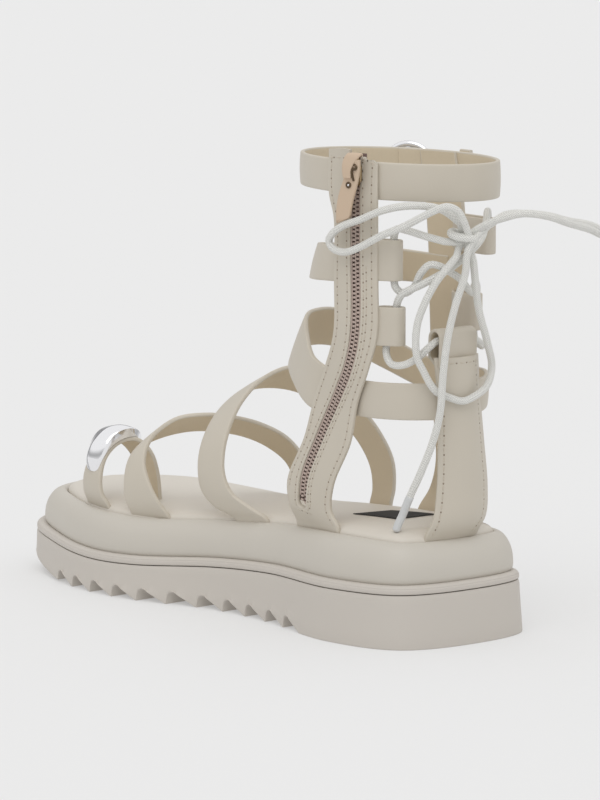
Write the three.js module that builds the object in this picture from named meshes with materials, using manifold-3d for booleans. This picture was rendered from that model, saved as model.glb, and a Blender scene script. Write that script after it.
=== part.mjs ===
// A platform gladiator sandal for the right foot, women's size 38.
// Millimetres. Toe towards +Y, outer side of the foot towards +X, ground at z = 0.
// The origin is under the middle of the shoe's own box, taken without the bow of its lace.

import * as THREE from 'three';
import { mergeVertices } from 'three/addons/utils/BufferGeometryUtils.js';
import loadManifold from 'manifold-3d';

const wasm = await loadManifold();
wasm.setup();

// ---- driving dimensions ----------------------------------------------------------------

const gap = 0.3;            // clearance between separate pieces
const cutGap = 0.42;        // clearance cut round a strap where it enters the sole
const leather = 1.8;        // strap: outer leather and lining together
const foldedLeather = 1.4;  // single leather of the lace tunnels
const cord = 3.0;           // lace diameter

const sole = {
  springStart: 64,     // where the toe starts to rise
  toeSpring: 6.6,
  length: 262,
  flare: 1.5,          // outsole foot stands out beyond the groove line
  weltHeight: 4,
  toothPitch: 14.45,
  toothDepth: 5.2,
  toothTip: 1.5,       // flat tip that touches the ground
  toothCount: 11,
  firstTip: 88.15,
  recess: 4.5,         // how deep the insole sits in the midsole
  pointsPerSide: 32,
};

const shaft = { centreY: -81, halfWidth: 35.1, halfDepth: 45.1, tiltX: -0.018, tiltY: 0.014 };
const collar = { low: 178, high: 193, frontLow: 179.6, tailStep: 1.6, tailEnd: 94, keeper: 84 };
const tunnel = { radius: 2.9, foldSteps: 5 };
const zip = { width: 3.8, thickness: 2.4, slot: 4.8, top: 187.5 };
const slider = { x: -35.2, y: -95, turn: 193.9, top: 194.4, bottom: 184, halfWidth: 3.3 };
const pull = {
  pivotOut: 3.8, pivotZ: 195, eyeOuter: 1.5, eyeInner: 0.95, wire: 1.2, linkHalf: 2.3, linkDrop: 9.6,
  tabIn: 5.4, tabThickness: 1.4, rivet: 1.1, rivetHead: 2.1,
};
const buckle = { angle: 52, outer: 12, inner: 9, depth: 2.6, standOff: 4.3, z: 183.6, prong: 1.7 };
const knot = { at: [-9, -131.6, 163.2], radii: [6.2, 4.2, 4.6] };
const ornament = { from: 0.33, to: 0.72, rows: 10, columns: 6, rise: 6.2 };

// Plan of the groove line, from the middle of the heel along the inner side to the toe and back.
const toeIndex = 9;
const soleOutline = [
  { x: -1.3, y: -130.8 }, { x: -35.4, y: -123 }, { x: -45, y: -91 }, { x: -37.1, y: -41 },
  { x: -37.2, y: -6 }, { x: -49.2, y: 34 }, { x: -50.8, y: 64 }, { x: -43.7, y: 97 },
  { x: -31, y: 123.1 }, { x: -4.4, y: 131 }, { x: 21.8, y: 123 }, { x: 44, y: 94 },
  { x: 51, y: 54 }, { x: 45.8, y: 9 }, { x: 39.6, y: -41 }, { x: 32.7, y: -91 }, { x: 28.5, y: -123.1 },
];

// Heights along the sole: the moulded groove, and the crest of the padded midsole.
const soleHeights = [
  { y: -131, groove: 21.9, crest: 42.4 },
  { y: -90, groove: 21.3, crest: 43.8 },
  { y: -45, groove: 20.1, crest: 41.2 },
  { y: -5, groove: 17.6, crest: 37.8 },
  { y: 35, groove: 14.7, crest: 35.2 },
  { y: 65, groove: 14.1, crest: 35.2 },
  { y: 100, groove: 16.1, crest: 37.0 },
  { y: 131, groove: 19.1, crest: 39.6 },
];

// ---- materials -------------------------------------------------------------------------

function finish(color, roughness, metalness = 0) {
  return new THREE.MeshStandardMaterial({ color, roughness, metalness });
}

const bone = 0xc9c0b4;
const finishes = {
  outsole: () => finish(0xbeb8b0, 0.6),
  midsole: () => finish(0xc4c2b6, 0.55),
  insole: () => finish(0xc8c4b7, 0.6),
  strap: () => finish(bone, 0.5),
  zip: () => finish(0x967d73, 0.6),
  pull: () => finish(0xd0b8a0, 0.6),
  brass: () => finish(0xb89058, 0.3, 1),
  chrome: () => finish(0xe6e6ea, 0.08, 1),
  lace: () => finish(0xe1e1da, 0.8),
};

// ---- solids ----------------------------------------------------------------------------

function pointOf(values) {
  return new THREE.Vector3(...values);
}

function signedVolume(vertices, faces) {
  let volume = 0;
  for (const [a, b, c] of faces) {
    volume += vertices[a].dot(new THREE.Vector3().crossVectors(vertices[b], vertices[c])) / 6;
  }
  return volume;
}

// Makes a solid from shared vertices and triangles, turned so that its faces point out.
function solidFrom(vertices, faces) {
  const turned = signedVolume(vertices, faces) < 0 ? faces.map(([a, b, c]) => [a, c, b]) : faces;
  return new wasm.Manifold(new wasm.Mesh({
    numProp: 3,
    vertProperties: new Float32Array(vertices.flatMap((v) => [v.x, v.y, v.z])),
    triVerts: new Uint32Array(turned.flat()),
  }));
}

function solidOfGeometry(source) {
  const bare = source.clone();
  bare.deleteAttribute('normal');
  bare.deleteAttribute('uv');
  const merged = mergeVertices(bare, 1e-4);
  return new wasm.Manifold(new wasm.Mesh({
    numProp: 3,
    vertProperties: new Float32Array(merged.attributes.position.array),
    triVerts: new Uint32Array(merged.index.array),
  }));
}

function geometryOfSolid(solid) {
  const mesh = solid.getMesh();
  const geometry = new THREE.BufferGeometry();
  geometry.setAttribute('position', new THREE.BufferAttribute(new Float32Array(mesh.vertProperties), 3));
  geometry.setIndex(new THREE.BufferAttribute(new Uint32Array(mesh.triVerts), 1));
  geometry.computeVertexNormals();
  return geometry;
}

function joined(solids) {
  return solids.reduce((whole, next) => whole.add(next));
}

// ---- rings: closed loops of equal count, stacked into one body --------------------------

// The two end loops are closed by strips between the inner and the outer side of the foot.
function stack(rings) {
  const count = rings[0].length;
  const vertices = rings.flat();
  const faces = [];
  for (let r = 0; r + 1 < rings.length; r += 1) {
    for (let i = 0; i < count; i += 1) {
      const a = r * count + i;
      const b = r * count + ((i + 1) % count);
      faces.push([a, b, b + count], [a, b + count, a + count]);
    }
  }
  const half = count / 2;
  const last = (rings.length - 1) * count;
  for (let i = 0; i < half; i += 1) {
    const here = i;
    const next = i + 1;
    const mirrorHere = (count - i) % count;
    const mirrorNext = count - next;
    const closeStart = [];
    if (here !== mirrorHere) closeStart.push([here, mirrorHere, next]);
    if (next !== mirrorNext) closeStart.push([next, mirrorHere, mirrorNext]);
    for (const [a, b, c] of closeStart) {
      faces.push([a, b, c], [last + a, last + c, last + b]);
    }
  }
  return solidFrom(vertices, faces);
}

// ---- sheets: rows of points from one edge of a strap to the other ------------------------

// over(i, j) and under(i, j) give how far the two faces stand from the point at row i, column j.
function sheet(rows, over, under = over) {
  const rowCount = rows.length;
  const width = rows[0].length;
  const outer = [];
  const inner = [];
  rows.forEach((row, i) => {
    const before = rows[Math.max(i - 1, 0)];
    const after = rows[Math.min(i + 1, rowCount - 1)];
    row.forEach((point, j) => {
      const along = after[j].clone().sub(before[j]);
      const across = row[Math.min(j + 1, width - 1)].clone().sub(row[Math.max(j - 1, 0)]);
      const normal = new THREE.Vector3().crossVectors(along, across).normalize();
      outer.push(point.clone().addScaledVector(normal, over(i, j)));
      inner.push(point.clone().addScaledVector(normal, -under(i, j)));
    });
  });
  const vertices = [...outer, ...inner];
  const back = rowCount * width;
  const at = (i, j) => i * width + j;
  const faces = [];
  const quad = (a, b, c, d) => faces.push([a, b, c], [a, c, d]);
  for (let i = 0; i + 1 < rowCount; i += 1) {
    for (let j = 0; j + 1 < width; j += 1) {
      quad(at(i, j), at(i + 1, j), at(i + 1, j + 1), at(i, j + 1));
      quad(back + at(i, j + 1), back + at(i + 1, j + 1), back + at(i + 1, j), back + at(i, j));
    }
    quad(at(i + 1, 0), at(i, 0), back + at(i, 0), back + at(i + 1, 0));
    quad(at(i, width - 1), at(i + 1, width - 1), back + at(i + 1, width - 1), back + at(i, width - 1));
  }
  for (let j = 0; j + 1 < width; j += 1) {
    quad(at(0, j), at(0, j + 1), back + at(0, j + 1), back + at(0, j));
    const end = rowCount - 1;
    quad(at(end, j + 1), at(end, j), back + at(end, j), back + at(end, j + 1));
  }
  return solidFrom(vertices, faces);
}

// Smooths a short table of sections into evenly counted rows. Each section lists its points
// from one edge to the other. grow swells the strap, to cut room for it in a neighbour.
function strap(sections, steps, { thickness = leather, grow = 0 } = {}) {
  const columns = sections[0].length;
  const curves = [];
  for (let j = 0; j < columns; j += 1) {
    curves.push(new THREE.CatmullRomCurve3(sections.map((s) => pointOf(s[j])), false, 'centripetal'));
  }
  const rows = [];
  for (let i = 0; i <= steps; i += 1) {
    const row = curves.map((curve) => curve.getPoint(i / steps));
    if (grow > 0) {
      const across = row[columns - 1].clone().sub(row[0]).normalize();
      row[0].addScaledVector(across, -grow);
      row[columns - 1].addScaledVector(across, grow);
    }
    rows.push(row);
  }
  return sheet(rows, () => thickness / 2 + grow);
}

// ---- round cords -------------------------------------------------------------------------

function tubeGeometry(points, { diameter = cord, steps, sides = 8 } = {}) {
  const path = new THREE.CatmullRomCurve3(points.map(pointOf), false, 'centripetal');
  const section = new THREE.Shape();
  for (let k = 0; k < sides; k += 1) {
    const turn = (k / sides) * 2 * Math.PI;
    const x = (diameter / 2) * Math.cos(turn);
    const y = (diameter / 2) * Math.sin(turn);
    if (k === 0) section.moveTo(x, y);
    else section.lineTo(x, y);
  }
  section.closePath();
  return new THREE.ExtrudeGeometry(section, { steps, extrudePath: path, bevelEnabled: false, curveSegments: 1 });
}

function tube(points, options) {
  return solidOfGeometry(tubeGeometry(points, options));
}

// ---- sole --------------------------------------------------------------------------------

function heightCurve(key) {
  const lengths = soleHeights.map((row) => row.y);
  const curve = new THREE.CubicInterpolant(lengths, soleHeights.map((row) => row[key]), 1);
  return (y) => curve.evaluate(y)[0];
}

const grooveAt = heightCurve('groove');
const crestAt = heightCurve('crest');
const weltTopAt = (y) => grooveAt(y) + sole.weltHeight;
const groundAt = (y) => {
  const past = Math.max(0, y - sole.springStart) / (sole.length / 2 - sole.springStart);
  return sole.toeSpring * past * past;
};

// Equal steps along one side of the outline, with the outward direction at each.
function sideOfOutline(curve, from, to, count) {
  const fine = 600;
  const points = [];
  const lengths = [0];
  for (let i = 0; i <= fine; i += 1) {
    points.push(curve.getPoint(from + ((to - from) * i) / fine));
    if (i > 0) lengths.push(lengths[i - 1] + points[i].distanceTo(points[i - 1]));
  }
  const side = [];
  let k = 0;
  for (let i = 0; i < count; i += 1) {
    const wanted = (lengths[fine] * i) / count;
    while (lengths[k + 1] < wanted) k += 1;
    const tangent = points[k + 1].clone().sub(points[k]).normalize();
    side.push({ point: points[k].clone(), outward: new THREE.Vector3(-tangent.y, tangent.x, 0) });
  }
  return side;
}

function outlineSamples() {
  const curve = new THREE.CatmullRomCurve3(
    soleOutline.map((p) => new THREE.Vector3(p.x, p.y, 0)), true, 'centripetal');
  const toe = toeIndex / soleOutline.length;
  return [
    ...sideOfOutline(curve, 0, toe, sole.pointsPerSide),
    ...sideOfOutline(curve, toe, 1, sole.pointsPerSide),
  ];
}

const outline = outlineSamples();

function soleRing(inset, heightOf) {
  return outline.map(({ point, outward }) => {
    const moved = point.clone().addScaledVector(outward, -inset);
    moved.z = heightOf(moved.y);
    return moved;
  });
}

function extrudedAcross(profile, width) {
  const shape = new THREE.Shape(profile.map(([y, z]) => new THREE.Vector2(y, z)));
  const geometry = new THREE.ExtrudeGeometry(shape, { depth: width, bevelEnabled: false });
  // The shape's own x runs along the foot, its y upwards and its depth across.
  geometry.applyMatrix4(new THREE.Matrix4().makeBasis(
    new THREE.Vector3(0, 1, 0), new THREE.Vector3(0, 0, 1), new THREE.Vector3(1, 0, 0)));
  geometry.translate(-width / 2, 0, 0);
  return solidOfGeometry(geometry);
}

function outsoleSolid() {
  const block = stack([
    soleRing(-sole.flare, groundAt),
    soleRing(-sole.flare * 0.6, (y) => groundAt(y) + 0.3 * (grooveAt(y) - groundAt(y))),
    soleRing(0, (y) => grooveAt(y) - gap),
  ]);
  const notches = [];
  for (let k = 0; k < sole.toothCount; k += 1) {
    const front = sole.firstTip - sole.toothTip / 2 - k * sole.toothPitch;
    const rear = front - sole.toothPitch + sole.toothTip;
    notches.push(extrudedAcross([
      [front + 0.3, -1], [front - 1.6, sole.toothDepth - 0.7], [front - 2.6, sole.toothDepth],
      [front - 3.8, sole.toothDepth - 0.5], [rear - 0.6, -1],
    ], 130));
  }
  return notches.reduce((whole, notch) => whole.subtract(notch), block);
}

function weltSolid() {
  return stack([
    soleRing(0.6, grooveAt),
    soleRing(0, (y) => grooveAt(y) + 0.8),
    soleRing(0.1, (y) => weltTopAt(y) - 1.2),
    soleRing(1.2, weltTopAt),
  ]);
}

// The padded midsole: a fat rounded edge around a recess that holds the insole.
const midsoleSections = [
  { inset: 3.4, rise: 0 },
  { inset: 2.4, rise: 0.25 },
  { inset: 2.6, rise: 0.55 },
  { inset: 4.2, rise: 0.82 },
  { inset: 6.8, rise: 0.97 },
  { inset: 9.0, rise: 1 },
];
const recessInset = 10.2;

function midsoleSolid() {
  const rings = midsoleSections.map(({ inset, rise }) => soleRing(inset, (y) => {
    const base = weltTopAt(y) + gap;
    return base + rise * (crestAt(y) - base);
  }));
  rings.push(soleRing(recessInset, (y) => crestAt(y) - 0.4));
  rings.push(soleRing(recessInset + 0.1, (y) => crestAt(y) - sole.recess));
  return stack(rings);
}

function insoleSolid(straps) {
  const pad = stack([
    soleRing(recessInset + 0.5, (y) => crestAt(y) - sole.recess + gap),
    soleRing(recessInset + 0.4, (y) => crestAt(y) - 0.6),
    soleRing(recessInset + 1.6, (y) => crestAt(y) + 1.2),
    soleRing(recessInset + 5.0, (y) => crestAt(y) + 2.2),
  ]);
  return straps.reduce((whole, part) => whole.subtract(part), pad);
}

// The recess as a solid, grown by the gap: what a strap loses where it runs down into the midsole.
function midsoleCutter() {
  const walls = [
    soleRing(recessInset + cutGap, (y) => crestAt(y) - sole.recess + gap),
    soleRing(recessInset + cutGap, (y) => crestAt(y) + gap),
    soleRing(recessInset - 4, (y) => crestAt(y) + gap),
    soleRing(-2, (y) => crestAt(y) - 1),
    soleRing(-2, (y) => crestAt(y) - 15),
  ];
  return stack(walls);
}

// ---- straps of the foot: edges nearest the toe and nearest the heel ----------------------

const toeLoopSections = [
  { front: [-34.6, 81, 29.8], rear: [-37.4, 61, 29.8] },
  { front: [-36.5, 80.5, 35.5], rear: [-39.6, 62, 35.5] },
  { front: [-39.2, 79.8, 41], rear: [-41.4, 64.5, 41] },
  { front: [-39.6, 78.8, 48], rear: [-41, 65.6, 48] },
  { front: [-36.5, 77.5, 56], rear: [-38, 65.6, 56.5] },
  { front: [-31, 76.5, 61], rear: [-31.8, 63.8, 62.2] },
  { front: [-24.5, 75, 61], rear: [-24.5, 61, 62.9] },
  { front: [-20.4, 72, 56], rear: [-19.2, 58.6, 57.4] },
  { front: [-18.8, 69, 48], rear: [-17.8, 56, 50] },
  { front: [-18.8, 66, 38.2], rear: [-18.6, 53, 38.2] },
  { front: [-18.8, 65.4, 29.8], rear: [-18.8, 52.6, 29.8] },
];

const ballStrapSections = [
  { front: [-38, 45.5, 29.4], rear: [-34.2, 24.5, 29.6] },
  { front: [-39, 46.5, 34], rear: [-35.4, 25, 34.6] },
  { front: [-40.4, 49.2, 40.5], rear: [-38.6, 29, 41.5] },
  { front: [-40, 50.4, 48], rear: [-39.4, 34.5, 49.5] },
  { front: [-36, 52.6, 56], rear: [-36.6, 41, 58] },
  { front: [-30, 53.4, 61], rear: [-30.4, 43.6, 66.4] },
  { front: [-21, 50, 65], rear: [-23, 36.5, 74.6] },
  { front: [-10, 43.2, 67.6], rear: [-13, 29, 76.4] },
  { front: [3, 39.8, 66.4], rear: [1, 25.6, 74.2] },
  { front: [15, 37, 63.4], rear: [15, 24, 69.8] },
  { front: [26, 34.6, 58], rear: [27.4, 22.6, 63] },
  { front: [34.4, 32, 50.5], rear: [34.6, 20.5, 54] },
  { front: [37, 29.6, 41.5], rear: [36, 15, 43] },
  { front: [35.8, 28, 35.5], rear: [34.4, 9, 36.2] },
  { front: [35.2, 28, 29.4], rear: [33.6, 9, 30.4] },
];

const instepStrapSections = [
  { front: [-25.8, -8.5, 32.2], rear: [-24.6, -29, 34] },
  { front: [-27, -8, 38], rear: [-26, -28.6, 39.6] },
  { front: [-30.2, 2, 42.4], rear: [-29.2, -22.5, 43.6] },
  { front: [-31.6, 8.2, 48.5], rear: [-32.4, -13, 49.3] },
  { front: [-31.6, 10.4, 57], rear: [-32.8, -8, 57] },
  { front: [-29, 12, 65.5], rear: [-30.6, -5.4, 66.4] },
  { front: [-22.4, 14, 74.6], rear: [-25.4, -3.4, 76.6] },
  { front: [-13, 15.6, 82], rear: [-18, -2, 85.8] },
  { front: [-1, 15.4, 87.4], rear: [-6, -1, 94] },
  { front: [10, 9, 88], rear: [6, -5, 98.6] },
  { front: [18, 0, 85], rear: [16, -14.5, 95.4] },
  { front: [24, -11, 77.4], rear: [23.6, -24, 85.6] },
  { front: [28.4, -21.4, 67.6], rear: [28.8, -34, 74] },
  { front: [30.6, -27.8, 56.6], rear: [31.8, -41, 60.6] },
  { front: [30.6, -29.6, 47], rear: [31.2, -42.8, 49] },
  { front: [29.2, -29.4, 40.4], rear: [29, -43.2, 42] },
  { front: [29, -29.4, 34.4], rear: [28.6, -43.2, 35.4] },
];

const rowsOf = (sections, ...names) => sections.map((section) => names.map((name) => section[name]));

const footStraps = {
  toe_loop: (grow) => strap(rowsOf(toeLoopSections, 'front', 'rear'), 20, { grow }),
  strap_ball: (grow) => strap(rowsOf(ballStrapSections, 'front', 'rear'), 28, { grow }),
  strap_instep: (grow) => strap(rowsOf(instepStrapSections, 'front', 'rear'), 32, { grow }),
};

// ---- shaft: everything that stands round the ankle, joined -------------------------------

// A point on the shaft. The turn is 0 at the shin, 90 on the outer side, 180 at the heel, 270 inside.
function shaftPoint(degrees, height, out = 0) {
  const turn = THREE.MathUtils.degToRad(degrees);
  const x = (shaft.halfWidth + out) * Math.sin(turn);
  const y = (shaft.halfDepth + out) * Math.cos(turn);
  return [x, shaft.centreY + y, height + shaft.tiltX * x + shaft.tiltY * y];
}

function ringSections(fromDegrees, toDegrees, low, high, outStart, outEnd = outStart) {
  const count = Math.max(2, Math.round(Math.abs(toDegrees - fromDegrees) / 8));
  const sections = [];
  for (let i = 0; i <= count; i += 1) {
    const part = i / count;
    const degrees = THREE.MathUtils.lerp(fromDegrees, toDegrees, part);
    const out = THREE.MathUtils.lerp(outStart, outEnd, part);
    sections.push([shaftPoint(degrees, low, out), shaftPoint(degrees, high, out)]);
  }
  return sections;
}

// The zip panel: front edge, middle and rear edge, from its top down into the sole.
const panelSections = [
  { front: [-36.2, -80.6, 197.5], middle: [-34.9, -94.8, 197.5], rear: [-31.4, -104.3, 192.6] },
  { front: [-36.2, -80.6, 180], middle: [-34.9, -94.8, 180], rear: [-31.4, -104.3, 180] },
  { front: [-36.4, -83.8, 170], middle: [-34.9, -94.8, 170], rear: [-31.4, -104.3, 170] },
  { front: [-36.4, -84, 146], middle: [-34.9, -94.8, 146], rear: [-31.4, -104.5, 146] },
  { front: [-36.4, -83.6, 124], middle: [-35, -94.4, 124], rear: [-31.8, -104.6, 124] },
  { front: [-35.8, -77.4, 109], middle: [-35.2, -89.6, 109], rear: [-33.2, -100.8, 110] },
  { front: [-35.2, -70, 95], middle: [-34.8, -82.6, 95], rear: [-33.8, -95, 96] },
  { front: [-35.6, -64.4, 79], middle: [-35.8, -77.4, 79], rear: [-34.6, -91.4, 79.5] },
  { front: [-37, -55.6, 61], middle: [-37.2, -69, 61], rear: [-35.6, -82.4, 62] },
  { front: [-35, -54.4, 51], middle: [-35.6, -66.6, 51], rear: [-34.6, -79.8, 51] },
  { front: [-28.4, -51, 43], middle: [-31, -66.4, 43.4], rear: [-34, -84, 43.8] },
  { front: [-26.8, -50.6, 36.4], middle: [-29.6, -66.4, 37.2], rear: [-33.2, -84, 38] },
];

// The line of the zip down the panel.
const zipLine = [
  [-35.2, -95, 200], [-35.2, -95, 160], [-35.3, -94.8, 124], [-35.6, -91, 110], [-35.4, -86, 101],
  [-35.2, -80, 91], [-35.9, -73.4, 78.5], [-37.2, -66.8, 64], [-36, -63.8, 52.5],
];
const zipOutward = new THREE.Vector3(-0.97, -0.24, 0);

// A flat ribbon along a line, facing outward.
function ribbon(line, { width, thickness, steps, outward, until = 1 }) {
  const path = new THREE.CatmullRomCurve3(line.map(pointOf), false, 'centripetal');
  const rows = [];
  for (let i = 0; i <= steps; i += 1) {
    const t = (until * i) / steps;
    const point = path.getPoint(t);
    const across = path.getTangent(t).cross(outward).normalize();
    rows.push([
      point.clone().addScaledVector(across, -width / 2),
      point.clone().addScaledVector(across, width / 2),
    ]);
  }
  return sheet(rows, () => thickness / 2);
}

// The three pieces of the shaft that run down into the sole.
const shaftLegs = {
  panel: (grow) => strap(rowsOf(panelSections, 'front', 'middle', 'rear'), 24, { grow }),
  counter: (grow) => strap(rowsOf(counterSections, 'inner', 'middle', 'outer'), 12, { grow }),
  stay: (grow) => strap(rowsOf(staySections, 'front', 'middle', 'rear'), 16, { grow }),
};

// A leather tunnel for the lace: out from its root, round a fold and back inside.
function laceTunnel({ root, tip, inward, acrossLow, acrossHigh, radius = tunnel.radius }) {
  const rootPoint = pointOf(root);
  const tipPoint = pointOf(tip);
  const inside = pointOf(inward).normalize();
  const along = tipPoint.clone().sub(rootPoint).normalize();
  const path = [rootPoint, tipPoint];
  for (let i = 1; i < tunnel.foldSteps; i += 1) {
    const turn = (i / tunnel.foldSteps) * Math.PI;
    path.push(tipPoint.clone()
      .addScaledVector(inside, radius * (1 - Math.cos(turn)))
      .addScaledVector(along, radius * Math.sin(turn)));
  }
  path.push(tipPoint.clone().addScaledVector(inside, 2 * radius));
  path.push(rootPoint.clone().lerp(tipPoint, 0.35).addScaledVector(inside, 2 * radius));
  path.push(rootPoint.clone().addScaledVector(inside, 0.9));
  const rows = path.map((point) => [
    point.clone().add(pointOf(acrossLow)), point.clone().add(pointOf(acrossHigh)),
  ]);
  return sheet(rows, () => foldedLeather / 2);
}

const shinStrapSections = [
  { high: [-33.6, -86, 158.4], low: [-33.8, -86, 144.2] },
  { high: [-33.4, -78, 158.4], low: [-34.2, -78, 144] },
  { high: [-29.5, -67, 158], low: [-32.2, -66, 143.4] },
  { high: [-21, -56.6, 157], low: [-23.6, -53.8, 142.4] },
  { high: [-7, -51.4, 155.4], low: [-7.6, -46.6, 141] },
  { high: [10, -51, 153.4], low: [11, -45.6, 139.4] },
  { high: [23.4, -54, 151.4], low: [25, -51, 137.8] },
  { high: [31, -63, 150], low: [32, -61.6, 137] },
  { high: [33.4, -74, 149.4], low: [34, -73, 136.4] },
];

// The oblique strap: down from the instep on both sides and round the heel.
const heelStrapOuterSections = [
  { high: [-33, -77, 107.6], low: [-33.6, -72, 89.6] },
  { high: [-31.6, -64, 112.4], low: [-32.6, -62, 92] },
  { high: [-27.6, -56, 119], low: [-28.6, -50, 97.4] },
  { high: [-22.6, -49.2, 126], low: [-20.6, -36, 105] },
  { high: [-10, -40.6, 127.6], low: [-8, -28.8, 110.4] },
  { high: [3, -38.2, 126.6], low: [6, -28.4, 110.4] },
  { high: [14, -41.6, 121.4], low: [16, -34.4, 106.4] },
  { high: [24.6, -49.4, 113.4], low: [24.4, -45, 100] },
  { high: [30.4, -60, 107.6], low: [30, -58, 94.2] },
  { high: [32.4, -75, 105.4], low: [32, -75, 91] },
  { high: [30.4, -95, 105.6], low: [30, -95, 91] },
  { high: [20.6, -111.4, 106.4], low: [20.4, -111, 94] },
  { high: [9, -122.2, 106], low: [8.8, -122.2, 92.4] },
  { high: [-4, -124.6, 105.4], low: [-4, -124.6, 90.8] },
];

const heelStrapInnerSections = [
  { high: [-32, -92, 105.4], low: [-32.2, -88, 90.6] },
  { high: [-30.6, -102, 105.2], low: [-30.4, -101.6, 90.4] },
  { high: [-25.4, -112.6, 105.2], low: [-25.2, -112.6, 90.4] },
  { high: [-16, -120.4, 105.2], low: [-15.8, -120.4, 90.4] },
  { high: [-6, -124.4, 105.2], low: [-6, -124.4, 90.4] },
];

// The heel counter, from the lace loop down into the sole.
const counterSections = [
  { inner: [-17.2, -121.6, 115.8], middle: [-6, -126.2, 115.8], outer: [4.8, -121.8, 115.8] },
  { inner: [-15.6, -122, 100], middle: [-5, -126.6, 100], outer: [5.8, -122, 100] },
  { inner: [-15.2, -122, 80], middle: [-3.6, -126.6, 80], outer: [8, -122.2, 80] },
  { inner: [-15.4, -121.6, 62], middle: [-2.6, -126.2, 62], outer: [10.4, -121.8, 62] },
  { inner: [-16.6, -120.6, 50], middle: [-2.8, -124.8, 50], outer: [10.6, -120.8, 50] },
  { inner: [-18.6, -117.8, 43], middle: [-4, -119.6, 43], outer: [8.8, -118, 43] },
  { inner: [-18.4, -117.2, 38], middle: [-4, -118.9, 38], outer: [8.8, -117.2, 38] },
];

// The stay on the outer side, from the collar down into the sole.
const staySections = [
  { front: [30.2, -59.4, 192], middle: [32.8, -68, 192], rear: [34, -77.5, 192] },
  { front: [31, -62, 172], middle: [33.2, -71, 172], rear: [34, -82, 172] },
  { front: [31.8, -63.4, 150], middle: [33.6, -73, 150], rear: [34, -83.5, 150] },
  { front: [32, -64, 126], middle: [33.6, -73.4, 126], rear: [33.8, -83.5, 126] },
  { front: [31.8, -65.4, 104], middle: [32.8, -74, 104], rear: [32.8, -83.5, 104] },
  { front: [30.6, -68.4, 82], middle: [31, -76.6, 82], rear: [30.6, -85.4, 82] },
  { front: [29.6, -71, 64], middle: [29.8, -79, 64], rear: [29.2, -87.6, 64] },
  { front: [29, -68, 52], middle: [28.4, -77.4, 52], rear: [27.2, -87.8, 52] },
  { front: [25.8, -64.4, 43], middle: [24.4, -75, 43.4], rear: [22.8, -86.6, 43.6] },
  { front: [25.4, -64.2, 36.8], middle: [24, -75, 37.4], rear: [22.4, -86.6, 38.2] },
];

const laceTunnels = [
  { root: [-32.4, -101.4, 154.2], tip: [-28.5, -109, 154.2], inward: [0.88, 0.47, 0],
    acrossLow: [0, 0, -8.2], acrossHigh: [0, 0, 8.2] },
  { root: [-32.4, -101.4, 127.8], tip: [-27.9, -110, 127.8], inward: [0.88, 0.47, 0],
    acrossLow: [0, 0, -7.8], acrossHigh: [0, 0, 7.8] },
  { root: [34.2, -77, 160], tip: [31.6, -102.4, 160], inward: [-0.99, -0.1, 0],
    acrossLow: [0, 0, -7.4], acrossHigh: [0, 0, 7.4] },
  { root: [34.2, -77, 128], tip: [33.8, -92, 128], inward: [-1, 0, 0],
    acrossLow: [0, 0, -7.6], acrossHigh: [0, 0, 7.6] },
  { root: [-6.2, -125.6, 112], tip: [-6.2, -125.9, 123.4], inward: [0, 1, 0],
    acrossLow: [-10.8, 1.2, 0], acrossHigh: [9, 1.2, 0] },
];

function collarStraps() {
  const full = 360;
  const tailOut = collar.tailStep;
  return [
    strap(ringSections(246, 48, collar.low, collar.high, -0.4, 0), 24),
    strap(ringSections(262, full + 44, collar.frontLow, collar.high, -0.4, 0), 18),
    strap(ringSections(full + 43, full + 58, collar.frontLow, collar.high, 0, tailOut), 2),
    strap(ringSections(full + 57, full + collar.tailEnd, collar.frontLow, collar.high - 0.4, tailOut), 4),
    strap(ringSections(collar.keeper, collar.keeper + 7, collar.low - 0.8, collar.high + 0.8, 3), 2),
  ];
}

// The panel's rear half stands a little lower than its front half.
function rearTopCut() {
  return besideZip(block([-8, 8], [0, 16], [194, 200]));
}

function upperSolid(cutter) {
  const slot = ribbon(zipLine, { width: zip.slot, thickness: 14, steps: 22, outward: zipOutward });
  const parts = [
    ...Object.values(shaftLegs).map((make) => make(0)),
    ...collarStraps(),
    strap(rowsOf(shinStrapSections, 'high', 'low'), 16),
    strap(rowsOf(heelStrapOuterSections, 'high', 'low'), 26),
    strap(rowsOf(heelStrapInnerSections, 'high', 'low'), 8),
    ...laceTunnels.map(laceTunnel),
  ];
  return joined(parts).subtract(slot).subtract(rearTopCut()).subtract(cutter);
}

// ---- zip ---------------------------------------------------------------------------------

// Beside the zip, x points outward from the panel, y towards the heel and z up.
function besideZip(solid) {
  return solid.rotate([0, 0, slider.turn]).translate([slider.x, slider.y, 0]);
}

function block([x0, x1], [y0, y1], [z0, z1]) {
  return wasm.Manifold.cube([x1 - x0, y1 - y0, z1 - z0]).translate([x0, y0, z0]);
}

// A round bar between two points, with flat ends.
function bar(from, to, diameter, sides = 10) {
  const start = pointOf(from);
  const along = pointOf(to).sub(start);
  const turn = new THREE.Quaternion().setFromUnitVectors(
    new THREE.Vector3(0, 0, 1), along.clone().normalize());
  const geometry = new THREE.CylinderGeometry(diameter / 2, diameter / 2, along.length(), sides);
  geometry.rotateX(Math.PI / 2);
  geometry.translate(0, 0, along.length() / 2);
  geometry.applyQuaternion(turn);
  geometry.translate(start.x, start.y, start.z);
  return solidOfGeometry(geometry);
}

function zipStrip() {
  const line = zipLine.map(([x, y, z]) => [x, y, Math.min(z, zip.top)]);
  return ribbon(line, {
    width: zip.width, thickness: zip.thickness, steps: 20, outward: zipOutward, until: 0.985,
  });
}

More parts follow.
